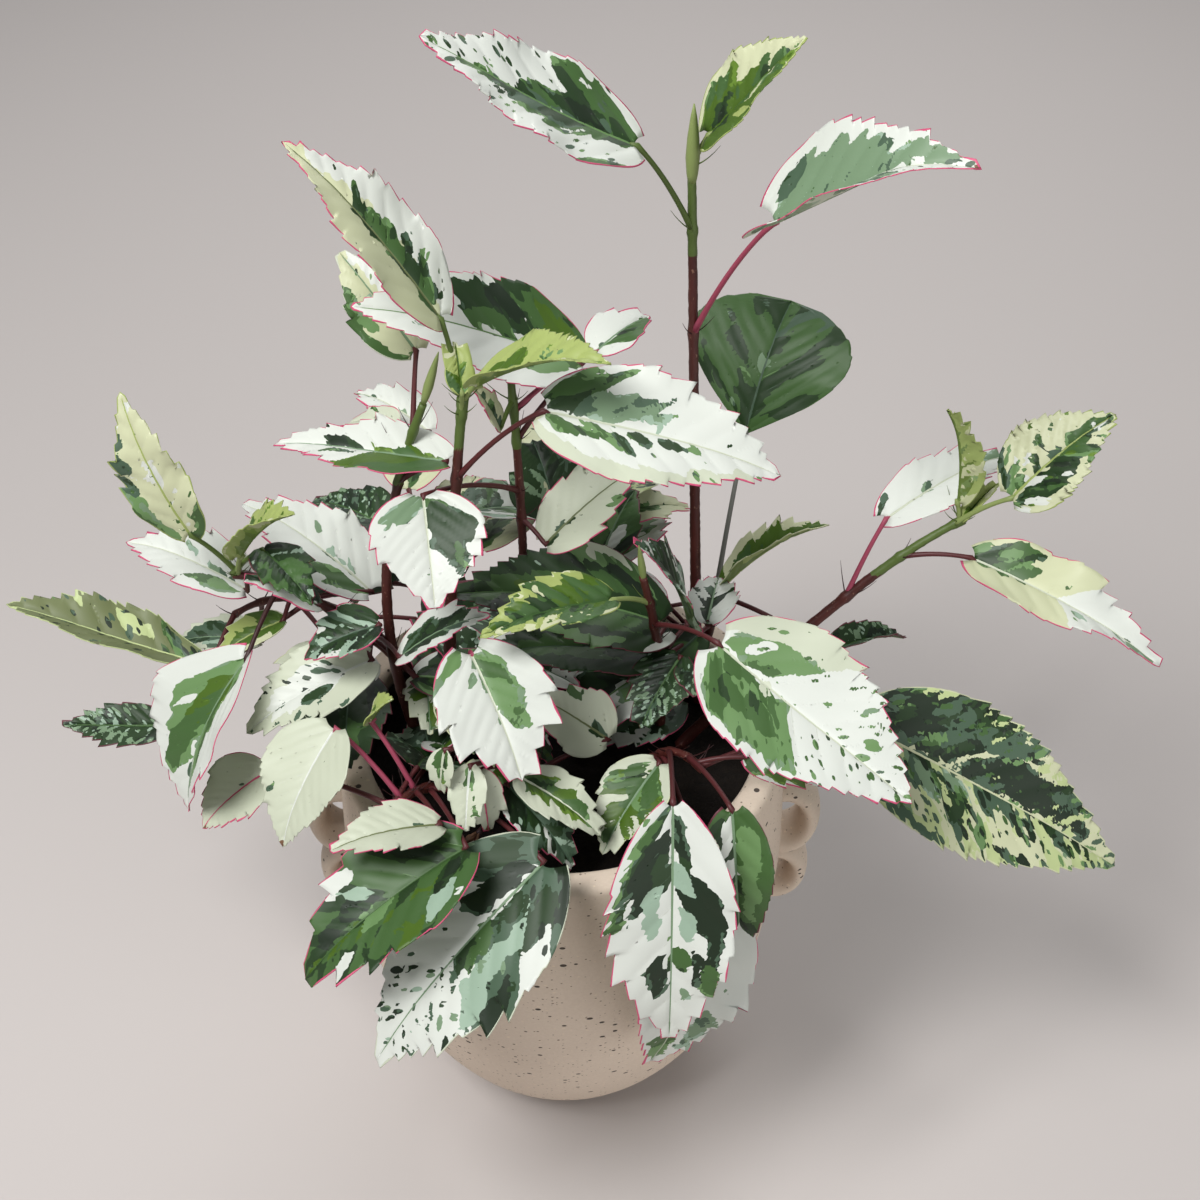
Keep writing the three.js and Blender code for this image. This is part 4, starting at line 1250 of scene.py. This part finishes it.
    "olive": dict(
        ground="moss", margin="cream", midrib="lime",
        blots=[("lime", 0.3, 1.1, 0.4, 1.2), ("cream", 0.1, 0.9, -1.2, -0.6)],
        specks=[("leaf", 10, 30, 0.9)],
    ),
    "slate_white": dict(
        ground="pale", margin="pale", midrib="sage",
        blots=[("slate", 0, 0.94, -0.7, 0.7), ("frost", 0.2, 0.5, -0.5, -0.1), ("dark", 0.1, 0.5, 0.1, 0.6)],
        specks=[("slate", 10, 10, 0.8)],
    ),
    "dusty": dict(
        ground="dark", margin="plum", midrib="leaf",
        patches=[("deep", -0.5, 0, 0, 0, 9)],
        specks=[("sage", 200, 1500, 0.65), ("frost", 100, 600, 0.55)],
    ),
    "dark": dict(
        ground="dark", margin="plum", midrib="slate",
        blots=[("leaf", 0.1, 0.9, -0.5, 0.3)],
        patches=[("slate", -0.95, 0.2, 0.3, 0, 9)],
        specks=[("sage", 3, 3, 0.8)],
    ),
    "banded": dict(
        ground="dark", margin="plum", midrib="fern",
        blots=[("leaf", 0.05, 0.9, -0.56, 0.5), ("fern", 0.1, 0.46, 0.66, 1.2),
               ("pale", 0.2, 0.4, 0.8, 1.2), ("fern", 0.3, 0.66, -1.2, -0.76),
               ("moss", 0.3, 0.7, -0.3, 0.3), ("white", -0.05, 0.12, -1.2, -0.6)],
        specks=[("frost", 1, 34, 0.6)],
    ),
    "marbled": dict(
        ground="dark", margin="dark", midrib="slate",
        patches=[("slate", -0.1, 0, 0, 0, 9), ("sage", -0.6, 0.3, 0, 0, 8), ("cream", -1, 0.3, 0, 0, 6)],
        specks=[],
    ),
    "dried": dict(
        ground="brown", margin="brown", midrib="plum", puckered=2.5,
        patches=[("plum", -0.4, 0, 0, 0, 5)],
        specks=[],
    ),
}

# Green flesh holds darker areas, and often a paler band along its edge.
DARKER = {"leaf": "dark", "moss": "leaf", "dark": "deep", "sage": "slate", "fern": "leaf", "slate": "dark"}
PALER = {"leaf": "fern", "moss": "grass", "dark": "slate", "deep": "slate", "sage": "frost", "fern": "sage"}
GREENS = tuple(DARKER) + ("deep",)
BAND = 1.5  # width of the paler band

# A side vein shows in the tint next to its flesh's own, paler on green and duller on white.
VEIN_TINTS = {
    "sage": "frost", "fern": "sage", "leaf": "fern", "moss": "grass", "dark": "slate", "deep": "slate",
    "white": "ivory", "pale": "ivory", "cream": "pale",
}

CELL = 1.35  # size of a blade's net of faces
FEWEST_ROWS = 5  # of the net, on each side of the midrib
NET_ENDS = (0.012, 0.985)  # its first and last column but the tip's, along the blade
LOBE = 0.05  # how far the foot's corners reach back past the stalk, of the blade's length
LOBE_END = 0.22
TOOTHED = (0.2, 0.97)  # from and to, along the blade
TOOTH = 6.4  # from one tooth to the next
TOOTH_VARIES = (0.6, 1.4)
TIP_TOOTH = 0.6  # length of a tooth at the tip, of one at the foot
TOOTH_DEPTH = 0.34  # of its length
DEPTH_VARIES = (0.3, 1.35)
DEPTH_START = 0.25  # of its full depth, in the first tooth
DEPTH_GROWTH = 6
TOOTH_RISE = (0.5, 0.4, 0.82)  # share of a tooth before its point, what its length adds to that, and the most
TOOTH_LEAN = 0.9  # how far a point runs forward, for each step outwards
TOOTH_HOLD = 4  # the power of the way out with which teeth pull the net
MARGIN = 0.34  # width of the coloured edge
MARGIN_VARIES = (0.75, 1.3)  # its share that stays, and that of the noise
MARGIN_WAVE = 6
MARGIN_TRACKS = (20, 40, 7.5)  # where the right and the left margin run through the noise
MIDRIB = (0.55, 0.15)  # half its width, at the foot and the tip
MIDRIB_SHARE = 0.9  # of the way to the net's next row, at most
VEIN_LEAN = 0.85  # how far a side vein runs forward, for each step outwards
VEIN_BEND = 1.25  # what that grows by at the margin
VEIN_SPACING = 0.13  # of the blade's length
VEIN_NARROWING = 0.7  # from one vein to the next, straight across them
VEIN = 0.17  # half its width
PUCKER = 0.62
PALE_PUCKER = {"white": 0.75, "pale": 0.75, "cream": 0.8}
SWELL_POWER = 0.7
FOLD_CURVE = 0.15
GROOVE = (0.35, 0.8)  # depth and width of the groove over the midrib
RIPPLE = 1.1
RIPPLE_START = 6.28
RIPPLE_WAVES = (11, 21)
RIPPLE_HOLD = 2.2  # the power of the way out with which the margin ripples
RIPPLE_LENGTH = 70  # of a blade that ripples by just that
TWIST_CENTRE = 0.35
CURL = 0.1
CURL_FROM = 0.6
CURL_RATE = 2.5
BLADE_THICKNESS = 0.35
SLIVER = 0.18  # corners nearer than this are made one

# The patterns' noise is drawn out along the side veins. Each layer of it has a strength and a fineness.
NOISE_LAYERS = ((1, 1), (0.45, 2.7), (0.25, 6.5))
NOISE_PLACE = 60
NOISE_LEFT = 11.3  # shift of the left half
NOISE_STRETCH = 1.7
FARTHEST = 40  # inside or outside a blot
RAGGED = (2.2, 3.8)  # how far a blot's edge strays, and the size of that
PATCH_CENTRE = (0.5, 0.3)  # along the blade and outwards
SPECKED_AREA = 2400  # that holds the number of specks given, in square millimetres
SPECKS_FROM = 0.05
SPECK_SIZES = (0.4, 1.5)
SPECK_STRETCH = (0.6, 1)
# Tones of green flesh: a seed, then cover and its change along, outwards and to the right, and size.
DARK_TONES = (70, -0.12, 0, -0.3, 0, 8)
PALE_TONES = (80, -0.1, 0, 0.3, 0, 6)
TONE_STRENGTH = 3
FAR_INSIDE = 9.0


def blade_columns(length, cell, tooth, rng):
    """Places along the blade, with a column at each tooth's point and notch, and how far out each one is."""
    first, last = NET_ENDS
    start, end = TOOTHED
    places = list(np.arange(first, start, cell / length))
    reach = [np.zeros(2)] * len(places)
    rise, added, most = TOOTH_RISE
    while start < end:
        step = tooth / length * rng.uniform(*TOOTH_VARIES) * mix(1, TIP_TOOTH, start)
        columns = max(2, round(step * length / cell))
        grown = min(1, (start - TOOTHED[0]) * DEPTH_GROWTH + DEPTH_START)
        deep = rng.uniform(*DEPTH_VARIES, 2) * grown * step * length
        long_side = min(most, rise + added * step * length / tooth)
        for k in range(columns + 1):
            places.append(start + step * long_side * k / columns)
            reach.append(deep * k / columns)
        start += step
    places = np.array([*places, 1.0])
    reach = np.array([*reach, np.zeros(2)])
    inside = places < last
    inside[-1] = True
    return places[inside], reach[inside] * TOOTH_DEPTH


class Blade:
    """One leaf's face laid out flat, as a net: where its points lie, in mm and in shares of the blade."""

    def __init__(self, row, rng):
        self.length = row["blade"][2]
        self.seed = row["seed"]
        cell = row.get("cell", CELL)
        places, teeth = blade_columns(self.length, cell, row.get("tooth", TOOTH), rng)
        teeth = teeth * row.get("toothed", 1)
        self.widest = row["width"] * self.length / 2
        rows_aside = max(FEWEST_ROWS, round(self.widest / cell))
        steps = np.arange(rows_aside + 1) / rows_aside
        steps = np.insert(steps, 1, 0.5 * steps[1])  # a row for the midrib's edge
        across = np.concatenate([-steps[:0:-1], steps])
        s, t = np.meshgrid(places, across, indexing="ij")
        half = outline(s, row) * self.widest
        side_teeth = np.where(t > 0, teeth[:, 1:], teeth[:, :1])
        pull = np.abs(t) ** TOOTH_HOLD
        x = s * self.length + side_teeth * pull * TOOTH_LEAN
        x = x - row.get("lobe", LOBE) * self.length * t * t * np.clip(1 - s / LOBE_END, 0, 1) ** 2
        x[-1] = self.length
        y = t * half + np.sign(t) * side_teeth * pull
        rib = np.minimum(mix(*MIDRIB, s), MIDRIB_SHARE * half / rows_aside)
        middle_row = len(across) // 2
        for j in (middle_row - 1, middle_row + 1):
            y[:, j] = np.sign(across[j]) * rib[:, j]
        self.x, self.y, self.s, self.t, self.half, self.rib = (v.ravel() for v in (x, y, s, t, half, rib))
        self.drift = self.x - VEIN_LEAN * np.abs(self.y)
        self.inwards = (1 - np.abs(self.t)) * (self.half + np.repeat(teeth.max(1), len(across)))
        corner_at = np.arange(len(self.x)).reshape(s.shape)
        a, b = corner_at[:-1, :-1].ravel(), corner_at[1:, :-1].ravel()
        c, d = corner_at[1:, 1:].ravel(), corner_at[:-1, 1:].ravel()
        self.faces = np.concatenate([np.stack([a, c, b], 1), np.stack([a, d, c], 1)])

    def noise(self, size, seed):
        """Noise drawn out along the side veins, with finer noise on it."""
        along = self.drift / size + np.where(self.y < 0, NOISE_LEFT, 0) + NOISE_PLACE
        out = self.y / (size * NOISE_STRETCH) + NOISE_PLACE
        first = self.seed * 10 + seed
        return sum(
            strength * lattice_noise(along * fineness, out * fineness, first + k)
            for k, (strength, fineness) in enumerate(NOISE_LAYERS)
        )

    def margin(self):
        """Below zero on the coloured margin, which is wider in some stretches."""
        right, left, track = MARGIN_TRACKS
        stays, varies = MARGIN_VARIES
        place = self.x / MARGIN_WAVE + np.where(self.t > 0, right, left)
        return self.inwards - MARGIN * (stays + varies * lattice_noise(place, 0 * self.x + track, self.seed))

    def vein(self):
        """How many side veins have been passed, and above zero in one. They bend forward at the margin."""
        lean = VEIN_LEAN * np.abs(self.y) * mix(1.0, VEIN_BEND, np.abs(self.t))
        passed = (self.x - lean) / self.length / VEIN_SPACING
        away = np.abs(passed - np.round(passed)) * VEIN_SPACING * self.length * VEIN_NARROWING
        return passed, VEIN * (1 - np.abs(self.t)) - away

    def blot(self, seed, start, end, left, right):
        """Above zero in a blot, which side veins bound at both ends, with a ragged edge."""
        middle = (max(left, -1) + min(right, 1)) / 2
        place = self.s - VEIN_LEAN * (np.abs(self.y) - abs(middle) * self.half) / self.length
        ends = np.clip(np.minimum(place - start, end - place) * self.length, -FARTHEST, FARTHEST)
        sides = np.clip(np.minimum(self.t - left, right - self.t) * self.half, -FARTHEST, FARTHEST)
        strays, size = RAGGED
        return -np.log(np.exp(-ends) + np.exp(-sides)) + strays * self.noise(size, seed)

    def patch(self, seed, cover, along, outwards, aside, size):
        """Above zero in patches, which cover more or less of the blade from place to place."""
        field = self.noise(size, seed) + cover + along * (self.s - PATCH_CENTRE[0])
        return field + outwards * (np.abs(self.t) - PATCH_CENTRE[1]) + aside * self.t

    def specks(self, rng, foot, tip, size):
        """Above zero in a speck: small spots drawn out along the veins."""
        widest = self.half.max()
        field = np.full(len(self.x), -1.0)
        for _ in range(int((foot + tip) * self.length * widest / SPECKED_AREA)):
            s = rng.uniform(SPECKS_FROM, 1)
            if rng.uniform(0, max(foot, tip)) > mix(foot, tip, s):
                continue
            here = rng.uniform(-1, 1) * widest
            dy = self.y - here
            dx = self.x - s * self.length - VEIN_LEAN * np.sign(here) * dy
            radius = size * rng.uniform(*SPECK_SIZES)
            field = np.maximum(field, radius - np.hypot(dx, dy * rng.uniform(*SPECK_STRETCH)))
        return field


def raised(blade, row, look, rng):
    """Where the points go to the right and up: folded, swollen between veins, rippled, twisted and arched."""
    s, t, y, length = blade.s, blade.t, blade.y, blade.length
    passed, _ = blade.vein()
    outwards = np.sin(math.pi * np.clip(np.abs(t), 0, 1) ** SWELL_POWER)
    swell = np.abs(np.sin(math.pi * passed)) ** SWELL_POWER * outwards
    puckered = look.get("puckered", PALE_PUCKER.get(look["ground"], 1)) * PUCKER
    fold = math.radians(row["fold"])
    z = np.abs(y) ** (1 + FOLD_CURVE) * math.sin(fold) * blade.widest**-FOLD_CURVE
    z = z + puckered * swell - GROOVE[0] * np.exp(-((y / GROOVE[1]) ** 2))
    begun, waves = rng.uniform(0, RIPPLE_START, 2), rng.uniform(*RIPPLE_WAVES, 2)
    ripple = np.where(t > 0, np.sin(s * waves[0] + begun[0]), np.sin(s * waves[1] + begun[1]))
    ripple = ripple * np.sin(s * math.pi)
    z = z + RIPPLE * row.get("ripple", 1) * ripple * np.abs(t) ** RIPPLE_HOLD * length / RIPPLE_LENGTH
    turn = math.radians(row.get("twist", 0)) * (s - TWIST_CENTRE)
    y = y * math.cos(fold)
    y, z = y * np.cos(turn) + z * np.sin(turn), z * np.cos(turn) - y * np.sin(turn)
    z = z + row["arch"] * length * 4 * s * (1 - s)
    return y, z - row.get("curl", CURL) * length * np.clip(s - CURL_FROM, 0, 1) ** 2 * CURL_RATE


def overlays(blade, look, rng):
    """What is laid on a blade's ground: the tints, and for each a field that is above zero where it lies."""
    laid = []
    for k, (tint, *place) in enumerate(look.get("blots", [])):
        laid.append((tint, blade.blot(k, *place)))
    for k, (tint, *place) in enumerate(look.get("patches", [])):
        laid.append((tint, blade.patch(k * 3, *place)))
    for tint, *place in look["specks"]:
        laid.append((tint, blade.specks(rng, *place)))
    return [tint for tint, _ in laid], [field for _, field in laid]


def tones(blade, look, tints, laid):
    """Above zero in the darker areas of green flesh, and in the paler band along its edge."""
    greens = [field for tint, field in zip(tints, laid) if tint in GREENS]
    if look["ground"] in GREENS:
        greens = [np.full(len(blade.x), FAR_INSIDE)]
    depth = np.max(greens, axis=0) if greens else np.full(len(blade.x), -FAR_INSIDE)
    darker = np.minimum(TONE_STRENGTH * blade.patch(*DARK_TONES), depth)
    paler = np.minimum(TONE_STRENGTH * blade.patch(*PALE_TONES), depth)
    return [darker, np.minimum(paler, BAND - depth)]


ON_ZERO = 1e-6


def split(points, faces, column):
    """Cuts faces along the line where one column of the points' numbers passes zero."""
    field = points[:, column]
    field[np.abs(field) < ON_ZERO] = ON_ZERO
    above = field > 0
    count = above[faces].sum(1)
    mixed = faces[(count == 1) | (count == 2)]
    if not len(mixed):
        return points, faces
    whole = faces[(count == 0) | (count == 3)]
    high = above[mixed]
    lone = np.where(high.sum(1) == 1, high.argmax(1), (~high).argmax(1))
    rows = np.arange(len(mixed))
    a, b, c = (mixed[rows, (lone + k) % 3] for k in range(3))
    edges = np.concatenate([np.stack([a, b], 1), np.stack([a, c], 1)])
    edges.sort(axis=1)
    edges, index = np.unique(edges, axis=0, return_inverse=True)
    index = index.reshape(-1)
    low, far = points[edges[:, 0]], points[edges[:, 1]]
    share = low[:, column] / (low[:, column] - far[:, column])
    crossing = low + (far - low) * share[:, None]
    ab, ac = len(points) + index[: len(mixed)], len(points) + index[len(mixed) :]
    cut = [whole, np.stack([a, ab, ac], 1), np.stack([ab, b, c], 1), np.stack([ab, c, ac], 1)]
    return np.concatenate([points, crossing]), np.concatenate(cut)


# A blade's points are rows of numbers: three for the place, then one for each field, in this order.
EDGE_FIELD, RIB_FIELD, VEIN_FIELD, FIRST_LAID = 3, 4, 5, 6
INSIDE_RIB = 0.999


def tint_slots(fields, look, tints):
    """The slot of each face's tint, which is what lies on top there."""

    def slot(tint):
        return tint_names.index(tint)

    slots = np.full(len(fields), slot(look["ground"]))
    for k, tint in enumerate(tints):
        slots[fields[:, FIRST_LAID + k] > 0] = slot(tint)
    tones_from = FIRST_LAID + len(tints)
    changes = ((tones_from, DARKER), (tones_from + 1, PALER), (VEIN_FIELD, VEIN_TINTS))
    for column, change in changes:
        before = slots.copy()
        for tint, other in change.items():
            slots[(fields[:, column] > 0) & (before == slot(tint))] = slot(other)
    slots[fields[:, RIB_FIELD] < 0] = slot(look["midrib"])
    slots[fields[:, EDGE_FIELD] < 0] = slot(look["margin"])
    return slots


def blade_part(base, row):
    """One leaf's upper face, as corners, faces and slots."""
    look = LOOKS[row["look"]]
    rng = np.random.default_rng(row["seed"])
    blade = Blade(row, rng)
    y, z = raised(blade, row, look, rng)
    tints, laid = overlays(blade, look, rng)
    lines = [blade.margin(), np.abs(blade.y) - blade.rib * INSIDE_RIB, blade.vein()[1]]
    points = np.stack([blade.x, y, z, *lines, *laid, *tones(blade, look, tints, laid)], 1)
    faces = blade.faces
    for column in [*range(FIRST_LAID, points.shape[1]), VEIN_FIELD, EDGE_FIELD]:
        points, faces = split(points, faces, column)
    along = direction(*row["blade"][:2])
    right, up = leaf_axes(along, row["roll"])
    corners = base + np.outer(points[:, 0], along)
    corners = corners + np.outer(points[:, 1], right) + np.outer(points[:, 2], up)
    return corners, faces, tint_slots(points[faces].sum(1), look, tints)


STALK_RADIUS = (1.05, 0.8)
STALK_SIDES = 10
STALK_STEPS = 12
STALK_BOW = 0.06  # of its length
STALK_FLARE = 0.35  # how much thicker both ends are
FLARE_POWER = 6
RIB_END = (2.5, 0.6, 0.5)  # past the blade's foot, below its face, and its radius
PAST_END = 1.05  # its share of the stalk


def stalk_part(shoot, row):
    """A leaf stalk: a slim tube from the shoot to the blade, bowed up, thicker at both ends."""
    start, end = shoot_point(shoot, row["at"]), leaf_base(shoot, row)
    along = direction(*row["blade"][:2])
    shares = np.linspace(0, 1, STALK_STEPS)
    points = [mix(start, end, t) for t in shares]
    rise = STALK_BOW * row["stalk"][2] * 4 * shares * (1 - shares)
    points = np.array(points) + np.outer(rise, [0, 0, 1])
    _, up = leaf_axes(along, row["roll"])
    past, below, rib_radius = RIB_END
    points = np.concatenate([points, [end + along * past - up * below]])
    shares = np.append(shares, PAST_END)
    radii = mix(*STALK_RADIUS, shares) + STALK_FLARE * np.abs(2 * shares - 1) ** FLARE_POWER
    radii[-1] = rib_radius
    corners, faces = tube(points, radii, STALK_SIDES)
    return corners, faces, 1 + stem_names.index(row["stem"])


for name, shoot in SHOOTS.items():
    blades = [blade_part(leaf_base(shoot, row), row) for row in shoot["leaves"]]
    piece = make_piece(name + "_leaves", blades, leaf_skins)
    bpy.ops.object.select_all(action="DESELECT")
    piece.select_set(True)
    bpy.context.view_layer.objects.active = piece
    bpy.ops.object.mode_set(mode="EDIT")
    bpy.ops.mesh.select_all(action="SELECT")
    bpy.ops.mesh.remove_doubles(threshold=SLIVER * MM)
    bpy.ops.object.mode_set(mode="OBJECT")
    shell = piece.modifiers.new("shell", "SOLIDIFY")
    shell.thickness = BLADE_THICKNESS * MM
    shell.offset = -1
    shell.material_offset = len(TINTS)
    bpy.ops.object.modifier_apply(modifier=shell.name)
    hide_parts(name + "_foliage")
    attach(piece, "root")

stalks = [stalk_part(shoot, row) for shoot in SHOOTS.values() for row in shoot["leaves"]]
stalk_piece = make_piece("leaf_stalks", stalks, stem_skins)
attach(stalk_piece, "root")

# ---------------------------------------------------------------- stipules
# A pair of stiff hairs beside the foot of each leaf stalk, dark red, or green on a young leaf. Each is a
# tapered tube that grows out of the shoot.
STIPULE_LENGTH = (6, 12)
STIPULE_RADIUS = 0.34
STIPULE_SPREAD = 70
SPREAD_VARIES = (0.5, 1)
STIPULE_RISE = 25
STIPULE_BEND = 0.45  # how far it turns up, of its length
STIPULE_TAPER = 0.8
STIPULE_SIDES = 5
STIPULE_STEPS = 6
STIPULE_SEED = 5


def stipule_part(shoot, row, side, rng):
    """One hair: it leaves the shoot beside the stalk and bends up."""
    heading = row["stalk"][0] + side * STIPULE_SPREAD * rng.uniform(*SPREAD_VARIES)
    length = rng.uniform(*STIPULE_LENGTH)
    shares = np.linspace(0, 1, STIPULE_STEPS)
    out = np.outer(shares, direction(heading, STIPULE_RISE)) + np.outer(STIPULE_BEND * shares**2, [0, 0, 1])
    radii = STIPULE_RADIUS * (1 - STIPULE_TAPER * shares)
    corners, faces = tube(shoot_point(shoot, row["at"]) + length * out, radii, STIPULE_SIDES)
    tint = "green" if row["stem"] in ("lime", "green") else "dark"
    return corners, faces, 1 + stem_names.index(tint)


hairs = np.random.default_rng(STIPULE_SEED)
stipules = [
    stipule_part(shoot, row, side, hairs)
    for shoot in SHOOTS.values()
    for row in shoot["leaves"]
    for side in (-1, 1)
]
stipule_piece = make_piece("stipules", stipules, stem_skins)
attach(stipule_piece, "root")

# ---------------------------------------------------------------- buds
# Closed young leaves at the shoots' tips, slim and folded, yellow-green. Each is a tube with a swollen
# middle, set on the shoot.
# Places along a bud and its radius there, both as shares of its length.
BUD_SHAPE = ((0, 0.04), (0.15, 0.065), (0.35, 0.08), (0.6, 0.066), (0.85, 0.036), (1, 0.008))


def bud_part(shoot, at, heading, rise, length):
    """One bud at a place along its shoot."""
    along = direction(heading, rise)
    points = [shoot_point(shoot, at) + along * place * length for place, _ in BUD_SHAPE]
    radii = [radius * length for _, radius in BUD_SHAPE]
    corners, faces = tube(points, radii, STALK_SIDES)
    return corners, faces, 1 + stem_names.index("lime")


buds = [bud_part(shoot, *bud) for shoot in SHOOTS.values() for bud in shoot.get("buds", [])]
bud_piece = make_piece("leaf_buds", buds, stem_skins)
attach(bud_piece, "root")
